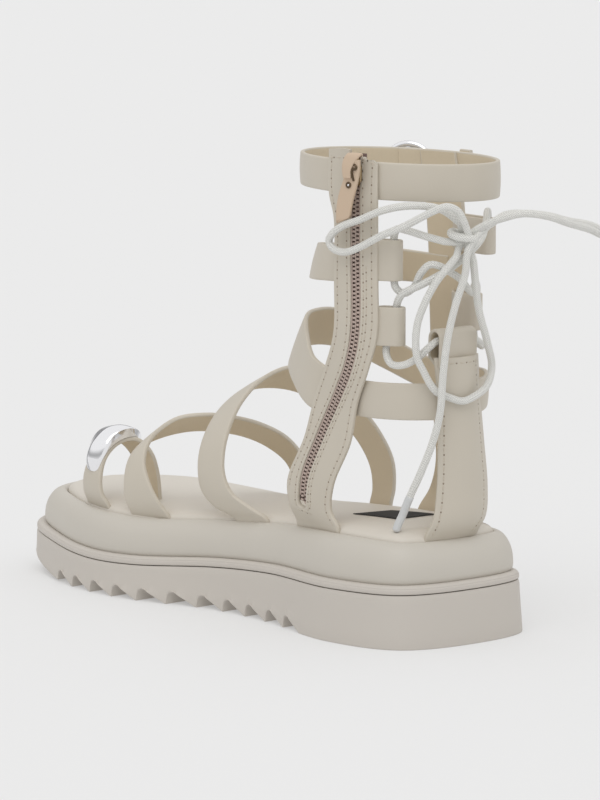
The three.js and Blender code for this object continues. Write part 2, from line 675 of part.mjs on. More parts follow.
// Two plates joined by a neck above the closed end of the zip, and the eye for the pull.
function sliderSolid() {
  const face = zip.thickness / 2 + gap;
  const plate = 1.3;
  const heights = [slider.bottom, slider.top];
  const eye = [pull.pivotOut, pull.pivotZ];
  const body = joined([
    block([face, face + plate], [-slider.halfWidth, slider.halfWidth], heights),
    block([-face - plate, -face], [-2, 2], heights),
    block([-face, face], [-1.6, 1.6], [zip.top + gap, slider.top]),
    block([face, eye[0]], [-0.9, 0.9], [eye[1] - 1.6, eye[1] + 0.8]),
    bar([eye[0], -0.9, eye[1]], [eye[0], 0.9, eye[1]], 2 * pull.eyeOuter, 14),
  ]);
  return besideZip(body.subtract(bar([eye[0], -4, eye[1]], [eye[0], 4, eye[1]], 2 * pull.eyeInner, 12)));
}

// The wire link through the eye, with the rivet that carries the leather tab.
function pullLink() {
  const x = pull.pivotOut;
  const low = pull.pivotZ - pull.linkDrop;
  const side = pull.linkHalf;
  const front = pull.tabIn + pull.tabThickness / 2 + gap;
  return besideZip(joined([
    bar([x, -side, pull.pivotZ], [x, side, pull.pivotZ], pull.wire),
    bar([x, -side, low], [x, side, low], pull.wire),
    bar([x, -side, low - 0.4], [x, -side, pull.pivotZ + 0.4], pull.wire),
    bar([x, side, low - 0.4], [x, side, pull.pivotZ + 0.4], pull.wire),
    bar([x, 0, low], [front + 0.3, 0, low], pull.rivet),
    bar([front, 0, low], [front + 0.7, 0, low], 2 * pull.rivetHead, 14),
  ]));
}

// The leather tab, seen from outside: it leans towards the toe as it hangs.
const tabShape = [
  { y: -4.4, z: 192.4 }, { y: 4.2, z: 192.4 }, { y: 4.0, z: 187 }, { y: 2.2, z: 183.4 }, { y: 0.1, z: 177.5 },
  { y: -1.2, z: 172 }, { y: -2, z: 171 }, { y: -7.2, z: 170.5 }, { y: -8, z: 171.3 }, { y: -8, z: 177.5 },
  { y: -6.4, z: 183 }, { y: -4.9, z: 187 },
];

function pullTab() {
  const shape = new THREE.Shape(tabShape.map(({ y, z }) => new THREE.Vector2(y, z)));
  const geometry = new THREE.ExtrudeGeometry(shape, { depth: pull.tabThickness, bevelEnabled: false });
  geometry.applyMatrix4(new THREE.Matrix4().makeBasis(
    new THREE.Vector3(0, 1, 0), new THREE.Vector3(0, 0, 1), new THREE.Vector3(1, 0, 0)));
  geometry.translate(pull.tabIn - pull.tabThickness / 2, 0, 0);
  const low = pull.pivotZ - pull.linkDrop;
  const hole = bar([2, 0, low], [9, 0, low], pull.rivet + 2 * gap);
  return besideZip(solidOfGeometry(geometry).subtract(hole));
}

// ---- buckle and toe ornament -------------------------------------------------------------

function buckleSolid() {
  const { outer, inner, depth } = buckle;
  const ring = wasm.Manifold.cylinder(depth, outer, outer, 28)
    .subtract(wasm.Manifold.cylinder(depth, inner, inner, 28));
  const flat = joined([
    ring,
    block([-inner - 1, inner + 1], [-1.1, 1.1], [0.2, depth - 0.2]),
    block([-1, 1], [0, outer - 0.8], [depth - 1.4, depth + 0.4]),
  ]);
  // The ring lies flat on the strap: its axis points outward, its middle bar stands upright.
  const turn = THREE.MathUtils.degToRad(buckle.angle);
  const out = shaft.halfWidth + buckle.standOff - depth / 2;
  const [x, y, z] = shaftPoint(buckle.angle, buckle.z, 0);
  const outward = new THREE.Vector3(Math.sin(turn) / shaft.halfWidth, Math.cos(turn) / shaft.halfDepth, 0);
  outward.normalize();
  const sideways = new THREE.Vector3(0, 0, 1).cross(outward).negate();
  const basis = new THREE.Matrix4().makeBasis(new THREE.Vector3(0, 0, 1), sideways, outward);
  basis.setPosition(
    x + outward.x * (out - shaft.halfWidth), y + outward.y * (out - shaft.halfWidth), z);
  return flat.transform(basis.elements);
}

// A domed metal shell that sits on the toe loop.
function ornamentSolid() {
  const along = rowsOf(toeLoopSections, 'front', 'rear');
  const curves = [0, 1].map((side) => new THREE.CatmullRomCurve3(
    along.map((section) => pointOf(section[side])), false, 'centripetal'));
  const rows = [];
  for (let i = 0; i <= ornament.rows; i += 1) {
    const t = THREE.MathUtils.lerp(ornament.from, ornament.to, i / ornament.rows);
    const [front, rear] = curves.map((curve) => curve.getPoint(t));
    const row = [];
    for (let j = 0; j <= ornament.columns; j += 1) {
      row.push(rear.clone().lerp(front, 0.02 + (0.96 * j) / ornament.columns));
    }
    rows.push(row);
  }
  const base = leather / 2 + cutGap;
  const top = (i, j) => {
    const u = (2 * i) / ornament.rows - 1;
    const v = (2 * j) / ornament.columns - 1;
    return base + 1 + ornament.rise * Math.sqrt(Math.max(0, (1 - u * u) * (1 - v * v)));
  };
  return sheet(rows, top, () => -base);
}

// ---- lace --------------------------------------------------------------------------------

// From the knot through the upper inner tunnel, across the heel to the lower outer tunnel,
// through the heel loop, and up through the lower inner tunnel.
const laceLower = [
  [-16.2, -127, 162.5], [-21.3, -122, 164.4], [-25.4, -114.6, 166.6], [-26, -109.6, 166.8],
  [-25.95, -107.64, 163.6], [-25.95, -107.64, 159], [-25.95, -107.64, 147], [-25.3, -108.1, 143], [-23, -110.6, 141],
  [-21.4, -114.6, 143.8], [-21.6, -118.8, 149.6], [-20, -122.4, 153.2], [-16.8, -124.7, 152.6],
  [-11.7, -126.1, 149.6], [-6.9, -126.1, 146.8], [-1.2, -124, 142.4], [8, -117.5, 139.4],
  [20, -106, 138.8], [28, -96.4, 140], [30.9, -91.8, 137.4], [30.9, -91.9, 134], [30.9, -91.9, 121], [29.8, -94, 116.8],
  [24, -104, 115.8], [15, -114.6, 117.6], [7, -120.6, 120.6], [2.4, -121.8, 122], [-5, -121.8, 122.6],
  [-15, -121.8, 122.4], [-19.2, -121, 119.8], [-23, -118.2, 115.6], [-26.4, -114, 112.8],
  [-28.2, -109, 112.8], [-28, -105.6, 116.2], [-27.3, -104.9, 120.4], [-26.2, -107, 127],
  [-25.35, -108.64, 133],
];

// From the lower inner tunnel up across the first strand to the upper outer tunnel.
const laceUpper = [
  [-25.35, -108.64, 131.5], [-25.35, -108.64, 136], [-25.4, -111.8, 140.8], [-22.6, -119.6, 144.9],
  [-17.8, -124.6, 148.7], [-13.9, -126.5, 151.1], [-8.7, -128, 154.6], [-1.2, -127.6, 159],
  [7.1, -123, 162.3], [17, -114.5, 166.8], [24.6, -106.8, 170], [28.2, -103.2, 169.8], [28.72, -102.7, 166.4],
  [28.72, -102.7, 154.4],
];

const laceLoopLeft = [
  [-12.2, -131.6, 169.9], [-17.1, -128.5, 174.4], [-21.2, -125.9, 176.4], [-29.5, -118, 176.7],
  [-34.9, -109.9, 174.5], [-38.8, -101.4, 170.6], [-41, -94.5, 168], [-42.7, -90.2, 165], [-43, -87.6, 161.6],
  [-42.6, -89.9, 158.5], [-41, -95, 157.4], [-39, -101.9, 159.8], [-35.6, -110.7, 164.7],
  [-31.4, -120.3, 169.1], [-28, -125.4, 172.4], [-24.5, -129.7, 175.3], [-20.8, -133.3, 177.1],
  [-16.9, -135.3, 175.3], [-13.2, -135.4, 170.2],
];

const laceLoopRight = [
  [-0.6, -135.6, 168.6], [8, -136, 172.3], [20, -135, 172], [30, -137, 170.7], [40, -138.5, 168],
  [48, -142, 166.3], [53.4, -145, 163.6], [54.6, -149, 161.6], [52, -152, 161.3], [41, -155.6, 164],
  [34, -157, 166.5], [22, -157.8, 169.7], [12, -156, 173], [4, -151, 174.2], [-2.2, -141.4, 171.2],
];

const laceLoopDown = [
  [-6.2, -132.8, 154.6], [-2, -131.4, 135.3], [3.5, -130.6, 121.2], [7.8, -128.6, 110.9],
  [4.1, -130, 103.8], [-3.3, -130.8, 100.1], [-8.8, -129.8, 98.5], [-14.3, -127.4, 100.3],
  [-18.6, -124.6, 102.8], [-23, -121.9, 111.3], [-25.5, -121, 117], [-26.1, -121.7, 128.7],
  [-24.5, -124.6, 138.4], [-20.7, -127.4, 147.1], [-18.4, -128.9, 150.6], [-13.6, -131, 156.6],
];

const laceEnd = [
  [-11.1, -134.2, 156], [-11.2, -133.6, 150], [-14.6, -132, 138.3], [-17.9, -131, 125],
  [-19.3, -129.8, 109.8], [-19.4, -128.8, 98], [-19.4, -127.4, 91.5], [-20.5, -125.2, 82.6],
  [-22.9, -120.7, 69.8], [-24.2, -115, 58.7], [-24.6, -111.8, 52],
];

function laceCrossings() {
  return tube(laceLower, { steps: 46 }).add(tube(laceUpper, { steps: 20 }));
}

function knotSolid() {
  const [x, y, z] = knot.at;
  return wasm.Manifold.sphere(1, 14).scale(knot.radii).rotate([0, 8, 0]).translate([x, y, z]);
}

// ---- assembly ----------------------------------------------------------------------------

const sandal = new THREE.Group();

function addPiece(name, solid, material) {
  const mesh = new THREE.Mesh(geometryOfSolid(solid), material);
  mesh.name = name;
  sandal.add(mesh);
  return mesh;
}

const cutter = midsoleCutter();
const grownStraps = [...Object.values(footStraps), ...Object.values(shaftLegs)].map((make) => make(cutGap));

addPiece('outsole', outsoleSolid(), finishes.outsole());
addPiece('welt', weltSolid(), finishes.outsole());
addPiece('midsole', midsoleSolid(), finishes.midsole());
addPiece('insole', insoleSolid(grownStraps), finishes.insole());
for (const [name, make] of Object.entries(footStraps)) {
  addPiece(name, make(0).subtract(cutter), finishes.strap());
}
addPiece('upper', upperSolid(cutter), finishes.strap());
addPiece('toe_ornament', ornamentSolid(), finishes.chrome());
addPiece('zip_teeth', zipStrip(), finishes.zip());
addPiece('zip_slider', sliderSolid(), finishes.brass());
addPiece('zip_link', pullLink(), finishes.brass());
addPiece('zip_tab', pullTab(), finishes.pull());
addPiece('buckle', buckleSolid(), finishes.chrome());
addPiece('lace_crossings', laceCrossings(), finishes.lace());
addPiece('lace_knot', knotSolid(), finishes.lace());
addPiece('lace_loop_left', tube(laceLoopLeft, { steps: 18 }), finishes.lace());
addPiece('lace_loop_right', tube(laceLoopRight, { steps: 18 }), finishes.lace());
addPiece('lace_loop_down', tube(laceLoopDown, { steps: 18 }), finishes.lace());
addPiece('lace_end', tube(laceEnd, { steps: 13 }), finishes.lace());

export default sandal;
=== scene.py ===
# A platform gladiator sandal for the right foot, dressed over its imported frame.
# Lengths below are in millimetres and become metres when a mesh is made.
import bpy
import bmesh
import math
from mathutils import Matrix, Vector


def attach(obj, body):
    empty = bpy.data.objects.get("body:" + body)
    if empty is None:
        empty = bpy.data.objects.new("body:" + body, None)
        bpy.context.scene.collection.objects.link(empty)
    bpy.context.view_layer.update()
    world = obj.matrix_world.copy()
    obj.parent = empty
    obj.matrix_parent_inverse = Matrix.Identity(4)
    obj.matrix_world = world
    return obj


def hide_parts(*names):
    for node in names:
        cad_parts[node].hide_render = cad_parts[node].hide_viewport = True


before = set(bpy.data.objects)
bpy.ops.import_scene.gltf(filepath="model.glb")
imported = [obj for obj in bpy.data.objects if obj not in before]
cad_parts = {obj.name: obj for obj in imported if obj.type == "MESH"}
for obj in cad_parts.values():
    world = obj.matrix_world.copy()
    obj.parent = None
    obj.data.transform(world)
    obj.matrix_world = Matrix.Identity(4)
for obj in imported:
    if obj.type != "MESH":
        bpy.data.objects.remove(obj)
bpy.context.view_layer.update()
mm = 0.001
sceneNow = bpy.context.scene


# Camera, light and floor.

studio = {
    "eye": (-1195.0, -1453.6, 344.9), "pitch": 0.1376, "yaw": 0.6942, "lens": 202.8,
    "ambient": 0.831, "sunStrength": 0.62, "sunAngle": 50, "sunTilt": 34, "sunTurn": -48,
    "sunColor": (1.0, 0.99, 0.98),
    "floorSize": 40.0, "floorTone": (0.52, 0.52, 0.52), "floorGlow": 0.3,  # the size is in metres
    # The room's brightness by height, from the horizon to overhead.
    "roomTones": [(0.0, 0.9), (0.18, 0.5), (0.26, 0.56), (0.42, 1.08), (1.0, 1.08)],
}


def makeStudio():
    camera = bpy.data.objects.new("camera", bpy.data.cameras.new("camera"))
    camera.data.sensor_width = 36
    camera.data.lens = studio["lens"]
    camera.data.clip_end = 100
    camera.location = Vector(studio["eye"]) * mm
    camera.rotation_euler = (math.pi / 2 - studio["pitch"], 0, -studio["yaw"])
    sceneNow.collection.objects.link(camera)
    sceneNow.camera = camera

    sceneNow.view_settings.view_transform = "Standard"
    world = bpy.data.worlds.new("softRoom")
    sceneNow.world = world
    world.use_nodes = True
    background = world.node_tree.nodes["Background"]
    # A dimmer band runs round the bright room, for the metal parts to mirror.
    nodes, links = world.node_tree.nodes, world.node_tree.links
    direction = nodes.new("ShaderNodeTexCoord")
    height = nodes.new("ShaderNodeSeparateXYZ")
    ramp = nodes.new("ShaderNodeValToRGB")
    # A new ramp has its two end stops already, so only those between them are added.
    for place, _ in studio["roomTones"][1:-1]:
        ramp.color_ramp.elements.new(place)
    for element, (_, tone) in zip(ramp.color_ramp.elements, studio["roomTones"]):
        element.color = (tone, tone, tone, 1)
    links.new(direction.outputs["Generated"], height.inputs[0])
    links.new(height.outputs["Z"], ramp.inputs["Fac"])
    links.new(ramp.outputs["Color"], background.inputs["Color"])
    background.inputs["Strength"].default_value = studio["ambient"]

    sun = bpy.data.lights.new("highWindow", "SUN")
    sun.energy = studio["sunStrength"]
    sun.angle = math.radians(studio["sunAngle"])
    sun.color = studio["sunColor"]
    sunObject = bpy.data.objects.new("highWindow", sun)
    sunObject.rotation_euler = (math.radians(studio["sunTilt"]), 0, math.radians(studio["sunTurn"]))
    sceneNow.collection.objects.link(sunObject)

    half = studio["floorSize"] / 2
    mesh = bpy.data.meshes.new("floor")
    mesh.from_pydata([(-half, -half, 0), (half, -half, 0), (half, half, 0), (-half, half, 0)], [], [(0, 1, 2, 3)])
    floor = bpy.data.objects.new("floor", mesh)
    sceneNow.collection.objects.link(floor)
    paper = bpy.data.materials.new("paleFloor")
    paper.use_nodes = True
    surface = paper.node_tree.nodes["Principled BSDF"]
    surface.inputs["Base Color"].default_value = (*studio["floorTone"], 1)
    surface.inputs["Roughness"].default_value = 0.9
    surface.inputs["Specular IOR Level"].default_value = 0.1
    surface.inputs["Emission Color"].default_value = (1, 1, 1, 1)
    surface.inputs["Emission Strength"].default_value = studio["floorGlow"]
    mesh.materials.append(paper)


makeStudio()
print("studio ready")

# Curves through points, the same as in the part's source.


def splinePoint(points, t, closed=False):
    count = len(points)
    spans = count if closed else count - 1
    place = max(0.0, min(1.0, t)) * spans
    index = int(place)
    if index >= spans:
        index = spans - 1
    weight = place - index

    def at(k):
        if closed:
            return points[k % count]
        if k < 0:
            return points[0] * 2 - points[1]
        if k >= count:
            return points[-1] * 2 - points[-2]
        return points[k]

    a, b, c, d = at(index - 1), at(index), at(index + 1), at(index + 2)
    ab, bc, cd = (max((q - p).length_squared ** 0.25, 1e-4) for p, q in ((a, b), (b, c), (c, d)))
    before = ((b - a) / ab - (c - a) / (ab + bc) + (c - b) / bc) * bc
    after = ((c - b) / bc - (d - b) / (bc + cd) + (d - c) / cd) * bc
    return (b + before * weight + ((c - b) * 3 - before * 2 - after) * weight ** 2
            + ((b - c) * 2 + before + after) * weight ** 3)


def spline(points, count):
    given = [Vector(p) for p in points]
    return [splinePoint(given, i / (count - 1)) for i in range(count)]


def routeLength(points):
    return sum((q - p).length for p, q in zip(points, points[1:]))


def evenly(points, count):
    lengths = [0.0]
    for p, q in zip(points, points[1:]):
        lengths.append(lengths[-1] + (q - p).length)
    result, k = [], 0
    for i in range(count):
        wanted = lengths[-1] * i / (count - 1)
        while k < len(points) - 2 and lengths[k + 1] < wanted:
            k += 1
        span = lengths[k + 1] - lengths[k]
        result.append(points[k].lerp(points[k + 1], (wanted - lengths[k]) / span if span else 0))
    return result


# Meshes from rows and rings of points.


def makePiece(name, vertices, faces, materials, faceSlots=None, uvs=None, sharp=None):
    mesh = bpy.data.meshes.new(name)
    mesh.from_pydata([tuple(v * mm) for v in vertices], [], faces)
    for material in materials:
        mesh.materials.append(material)
    if faceSlots:
        mesh.polygons.foreach_set("material_index", faceSlots)
    mesh.polygons.foreach_set("use_smooth", [True] * len(mesh.polygons))
    if uvs:
        layer = mesh.uv_layers.new(name="UVMap")
        for polygon in mesh.polygons:
            for corner in polygon.loop_indices:
                layer.data[corner].uv = uvs[mesh.loops[corner].vertex_index]
    if sharp:
        mesh.set_sharp_from_angle(angle=math.radians(sharp))
    mesh.validate()
    piece = bpy.data.objects.new(name, mesh)
    sceneNow.collection.objects.link(piece)
    return piece


def loft(rings, cyclic=False):
    count = len(rings[0])
    vertices = [v for ring in rings for v in ring]
    faces = []
    spans = len(rings) if cyclic else len(rings) - 1
    for r in range(spans):
        low, high = r * count, ((r + 1) % len(rings)) * count
        for i in range(count):
            j = (i + 1) % count
            faces.append((low + i, low + j, high + j, high + i))
    if not cyclic:
        faces.append(tuple(range(count))[::-1])
        faces.append(tuple(len(vertices) - count + i for i in range(count)))
    return vertices, faces


def facingOut(vertices, faces):
    volume = 0.0
    for face in faces:
        a = vertices[face[0]]
        for k in range(1, len(face) - 1):
            volume += a.dot(vertices[face[k]].cross(vertices[face[k + 1]]))
    return faces if volume > 0 else [face[::-1] for face in faces]


def joinPieces(name, pieces):
    bpy.ops.object.select_all(action="DESELECT")
    for piece in pieces:
        piece.select_set(True)
    bpy.context.view_layer.objects.active = pieces[0]
    bpy.ops.object.join()
    pieces[0].name = name
    pieces[0].data.name = name
    return pieces[0]


def settle(piece, slotName, *nodes, body="sandal"):
    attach(piece, body)
    if nodes:
        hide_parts(*nodes)
    return piece


# Finishes.


class Value:
    # One socket of a material, so that sums on it add their Math nodes.
    def __init__(self, finish, socket):
        self.finish = finish
        self.socket = socket

    def maths(self, operation, first, second=None):
        inputs = {0: first} if second is None else {0: first, 1: second}
        return self.finish.add("ShaderNodeMath", {"operation": operation}, inputs)

    def __add__(self, other):
        return self.maths("ADD", self, other)

    def __radd__(self, other):
        return self.maths("ADD", other, self)

    def __sub__(self, other):
        return self.maths("SUBTRACT", self, other)

    def __rsub__(self, other):
        return self.maths("SUBTRACT", other, self)

    def __mul__(self, other):
        return self.maths("MULTIPLY", self, other)

    def __rmul__(self, other):
        return self.maths("MULTIPLY", other, self)

    def sine(self):
        return self.maths("SINE", self)

    def absolute(self):
        return self.maths("ABSOLUTE", self)

    def larger(self, other):
        return self.maths("MAXIMUM", self, other)


class Finish:
    def __init__(self, name, color, roughness, **sockets):
        self.material = bpy.data.materials.new(name)
        self.material.use_nodes = True
        self.tree = self.material.node_tree
        self.surface = self.tree.nodes["Principled BSDF"]
        self.surface.inputs["Base Color"].default_value = (*color, 1)
        self.surface.inputs["Roughness"].default_value = roughness
        for key, value in sockets.items():
            self.surface.inputs[key.replace("_", " ")].default_value = value
        self.material.diffuse_color = (*color, 1)

    def add(self, kind, settings=None, inputs=None, output=0):
        node = self.tree.nodes.new(kind)
        for key, value in (settings or {}).items():
            setattr(node, key, value)
        for key, value in (inputs or {}).items():
            if isinstance(value, Value):
                self.tree.links.new(value.socket, node.inputs[key])
            else:
                node.inputs[key].default_value = value
        return Value(self, node.outputs[output])

    def set(self, name, value):
        self.tree.links.new(value.socket, self.surface.inputs[name])

    def bump(self, height, strength, distance):
        return self.add("ShaderNodeBump", {}, {"Height": height, "Strength": strength, "Distance": distance})

    def place(self):
        return self.add("ShaderNodeTexCoord", {}, {}, "Object")

    def noise(self, place, scale, detail=2.0, roughness=0.5):
        return self.add("ShaderNodeTexNoise", {}, {
            "Vector": place, "Scale": scale, "Detail": detail, "Roughness": roughness})

    def cells(self, place, scale):
        return self.add("ShaderNodeTexVoronoi", {"feature": "DISTANCE_TO_EDGE"}, {"Vector": place, "Scale": scale})

    def tones(self, amount, first, second):
        return self.add("ShaderNodeMix", {"data_type": "RGBA"}, {0: amount, 6: (*first, 1), 7: (*second, 1)}, 2)


def toneBeside(color, factor):
    return tuple(min(1.0, value * factor) for value in color)


leatherLook = {
    "grainScale": 1500.0, "grainStrength": 0.12, "grainDepth": 0.00012, "cloudScale": 28.0, "variation": 0.035,
}


def leatherFinish(name, color, roughness=0.46, strength=1.0):
    # Fine pored grain over a slow change of tone, with the tops of the grain a little glossier.
    finish = Finish(name, color, roughness, Coat_Weight=0.06, Coat_Roughness=0.35)
    place = finish.place()
    cloud = finish.noise(place, leatherLook["cloudScale"], 3.0)
    change = leatherLook["variation"]
    pores = finish.cells(place, leatherLook["grainScale"])
    fine = finish.noise(place, leatherLook["grainScale"] * 0.6, 3.0)
    finish.set("Base Color", finish.tones(cloud, toneBeside(color, 1 - change), toneBeside(color, 1 + change)))
    finish.set("Roughness", roughness - 0.05 + 0.1 * fine)
    height = pores * 1.6 + fine * 0.6
    finish.set("Normal", finish.bump(height, leatherLook["grainStrength"] * strength, leatherLook["grainDepth"]))
    return finish.material


def liningFinish(name, color):
    # Suede-like inner leather: soft, with short nap.
    finish = Finish(name, color, 0.75)
    place = finish.place()
    nap = finish.noise(place, 1100.0, 4.0, 0.65)
    cloud = finish.noise(place, 40.0, 2.0)
    finish.set("Base Color", finish.tones(cloud * 0.6 + nap * 0.4, toneBeside(color, 0.93), toneBeside(color, 1.06)))
    finish.set("Normal", finish.bump(nap, 0.12, 0.00012))
    return finish.material


def rubberFinish(name, color):
    finish = Finish(name, color, 0.5)
    place = finish.place()
    dust = finish.noise(place, 700.0, 3.0, 0.6)
    cloud = finish.noise(place, 18.0, 2.0)
    finish.set("Base Color", finish.tones(cloud, toneBeside(color, 0.975), toneBeside(color, 1.02)))
    finish.set("Roughness", 0.46 + 0.1 * dust)
    finish.set("Normal", finish.bump(dust, 0.06, 0.0001))
    return finish.material


def metalFinish(name, color, roughness):
    finish = Finish(name, color, roughness, Metallic=1.0)
    place = finish.place()
    wear = finish.noise(place, 160.0, 3.0)
    finish.set("Roughness", roughness * 0.7 + wear * roughness * 0.6)
    return finish.material


def braidFinish(name, color):
    # Two sets of yarns wound round the cord in opposite directions, over and under each other.
    finish = Finish(name, color, 0.75)
    path = finish.add("ShaderNodeSeparateXYZ", {}, {"Vector": finish.add("ShaderNodeTexCoord", {}, {}, "UV")}, 0)
    node = path.socket.node
    around, along = Value(finish, node.outputs[0]), Value(finish, node.outputs[1])
    turn = around * (2 * math.pi * 5)
    travel = along * 3.6
    left, right = (travel + turn).sine(), (travel - turn).sine()
    yarns = left.absolute().larger(right.absolute())
    crossing = left * right
    fibre = finish.noise(finish.place(), 2600.0, 2.0)
    # The colour follows the yarns' height: the gaps between them are painted darker, as painted shade.
    finish.set("Base Color", finish.tones(yarns, toneBeside(color, 0.5), toneBeside(color, 1.2)))
    finish.set("Normal", finish.bump(yarns * 0.8 + crossing * 0.4 + fibre * 0.15, 0.8, 0.0004))
    return finish.material


def tapeFinish(name, color):
    # Woven zip tape: fine ribs across the run.
    finish = Finish(name, color, 0.85)
    place = finish.place()
    height = finish.add("ShaderNodeSeparateXYZ", {}, {"Vector": place}, 2)
    ribs = (height * 7000.0).sine() * 0.5 + 0.5
    fuzz = finish.noise(place, 1800.0, 2.0)
    # The colour partly follows the ribs: their troughs are painted darker, as painted shade; the fuzz part is random
    # tone.
    finish.set("Base Color", finish.tones(ribs * 0.6 + fuzz * 0.4, toneBeside(color, 0.7), toneBeside(color, 1.15)))
    finish.set("Normal", finish.bump(ribs, 0.3, 0.0002))
    return finish.material


def flatFinish(name, color, roughness):
    finish = Finish(name, color, roughness)
    fibre = finish.noise(finish.place(), 2400.0, 2.0)
    finish.set("Base Color", finish.tones(fibre, toneBeside(color, 0.9), toneBeside(color, 1.1)))
    return finish.material


looks = {
    "strap": leatherFinish("boneLeather", (0.58, 0.53, 0.447)),
    "lining": liningFinish("tanLining", (0.64, 0.55, 0.41)),
    "edge": leatherFinish("edgePaint", (0.59, 0.54, 0.455), 0.5, 0.4),
    "midsole": leatherFinish("midsoleLeather", (0.575, 0.54, 0.48), 0.48, 0.5),
    "insole": leatherFinish("insoleLeather", (0.665, 0.62, 0.55), 0.5, 0.6),
    "rubber": rubberFinish("soleRubber", (0.575, 0.535, 0.485)),
    "chrome": metalFinish("brightMetal", (0.9, 0.9, 0.92), 0.09),
    # The next two are painted shade on the toe ornament: a dark line along its crease and a darker face past it.
    "paintedCreaseShade": metalFinish("paintedCreaseShade", (0.09, 0.09, 0.1), 0.15),
    "shadedMetal": metalFinish("shadedMetal", (0.52, 0.52, 0.54), 0.12),
    # The next brass is painted dark, as painted shade on the zip pull's ring and hook.
    "brassInPaintedShade": metalFinish("brassInPaintedShade", (0.14, 0.1, 0.065), 0.3),
    "brass": metalFinish("zipBrass", (0.36, 0.27, 0.16), 0.25),
    "tape": tapeFinish("zipTape", (0.22, 0.155, 0.135)),
    "coil": flatFinish("zipCoil", (0.50, 0.40, 0.35), 0.5),
    "thread": flatFinish("stitchThread", (0.56, 0.50, 0.41), 0.7),
    # Dark beads for the stitch holes: painted shade.
    "hole": flatFinish("stitchHoleShade", (0.28, 0.225, 0.17), 0.9),
    "pull": leatherFinish("pullLeather", (0.60, 0.46, 0.335), 0.55, 0.6),
    "lace": braidFinish("laceBraid", (0.76, 0.755, 0.72)),
    "aglet": flatFinish("laceTipFilm", (0.62, 0.63, 0.63), 0.3),
    "patch": flatFinish("nearBlackInsoleSheet", (0.016, 0.015, 0.014), 0.8),
}
print("finishes ready")

# Lace: one round cord, on the same routes as in the frame.

lace = {"diameter": 3.0, "sides": 16, "spacing": 1.4, "endRoundness": 0.6}

laceRoutes = {
    "lower": [
        (-16.2, -127, 162.5), (-21.3, -122, 164.4), (-25.4, -114.6, 166.6), (-26, -109.6, 166.8),
        (-25.95, -107.64, 163.6), (-25.95, -107.64, 159), (-25.95, -107.64, 147), (-25.3, -108.1, 143),
        (-23, -110.6, 141), (-21.4, -114.6, 143.8), (-21.6, -118.8, 149.6), (-20, -122.4, 153.2),
        (-16.8, -124.7, 152.6), (-11.7, -126.1, 149.6), (-6.9, -126.1, 146.8), (-1.2, -124, 142.4),
        (8, -117.5, 139.4), (20, -106, 138.8), (28, -96.4, 140), (30.9, -91.8, 137.4), (30.9, -91.9, 134),
        (30.9, -91.9, 121), (29.8, -94, 116.8), (24, -104, 115.8), (15, -114.6, 117.6), (7, -120.6, 120.6),
        (2.4, -121.8, 122), (-5, -121.8, 122.6), (-15, -121.8, 122.4), (-19.2, -121, 119.8),
        (-23, -118.2, 115.6), (-26.4, -114, 112.8), (-28.2, -109, 112.8), (-28, -105.6, 116.2),
        (-27.3, -104.9, 120.4), (-26.2, -107, 127), (-25.35, -108.64, 133),
    ],
    "upper": [
        (-25.35, -108.64, 131.5), (-25.35, -108.64, 136), (-25.4, -111.8, 140.8), (-22.6, -119.6, 144.9),
        (-17.8, -124.6, 148.7), (-13.9, -126.5, 151.1), (-8.7, -128, 154.6), (-1.2, -127.6, 159),
        (7.1, -123, 162.3), (17, -114.5, 166.8), (24.6, -106.8, 170), (28.2, -103.2, 169.8),
        (28.72, -102.7, 166.4), (28.72, -102.7, 154.4),
    ],
    "loopLeft": [
        (-12.2, -131.6, 169.9), (-17.1, -128.5, 174.4), (-21.2, -125.9, 176.4), (-29.5, -118, 176.7),
        (-34.9, -109.9, 174.5), (-38.8, -101.4, 170.6), (-41, -94.5, 168), (-42.7, -90.2, 165),
        (-43, -87.6, 161.6), (-42.6, -89.9, 158.5), (-41, -95, 157.4), (-39, -101.9, 159.8),
        (-35.6, -110.7, 164.7), (-31.4, -120.3, 169.1), (-28, -125.4, 172.4), (-24.5, -129.7, 175.3),
        (-20.8, -133.3, 177.1), (-16.9, -135.3, 175.3), (-13.2, -135.4, 170.2),
    ],
    "loopRight": [
        (-0.6, -135.6, 168.6), (8, -136, 172.3), (20, -135, 172), (30, -137, 170.7), (40, -138.5, 168),
        (48, -142, 166.3), (53.4, -145, 163.6), (54.6, -149, 161.6), (52, -152, 161.3), (41, -155.6, 164),
        (34, -157, 166.5), (22, -157.8, 169.7), (12, -156, 173), (4, -151, 174.2), (-2.2, -141.4, 171.2),
    ],
    "loopDown": [
        (-6.2, -132.8, 154.6), (-2, -131.4, 135.3), (3.5, -130.6, 121.2), (7.8, -128.6, 110.9),
        (4.1, -130, 103.8), (-3.3, -130.8, 100.1), (-8.8, -129.8, 98.5), (-14.3, -127.4, 100.3),
        (-18.6, -124.6, 102.8), (-23, -121.9, 111.3), (-25.5, -121, 117), (-26.1, -121.7, 128.7),
        (-24.5, -124.6, 138.4), (-20.7, -127.4, 147.1), (-18.4, -128.9, 150.6), (-13.6, -131, 156.6),
    ],
    "end": [
        (-11.1, -134.2, 156), (-11.2, -133.6, 150), (-14.6, -132, 138.3), (-17.9, -131, 125),
        (-19.3, -129.8, 109.8), (-19.4, -128.8, 98), (-19.4, -127.4, 91.5), (-20.5, -125.2, 82.6),
        (-22.9, -120.7, 69.8), (-24.2, -115, 58.7), (-24.6, -111.8, 52),
    ],
}


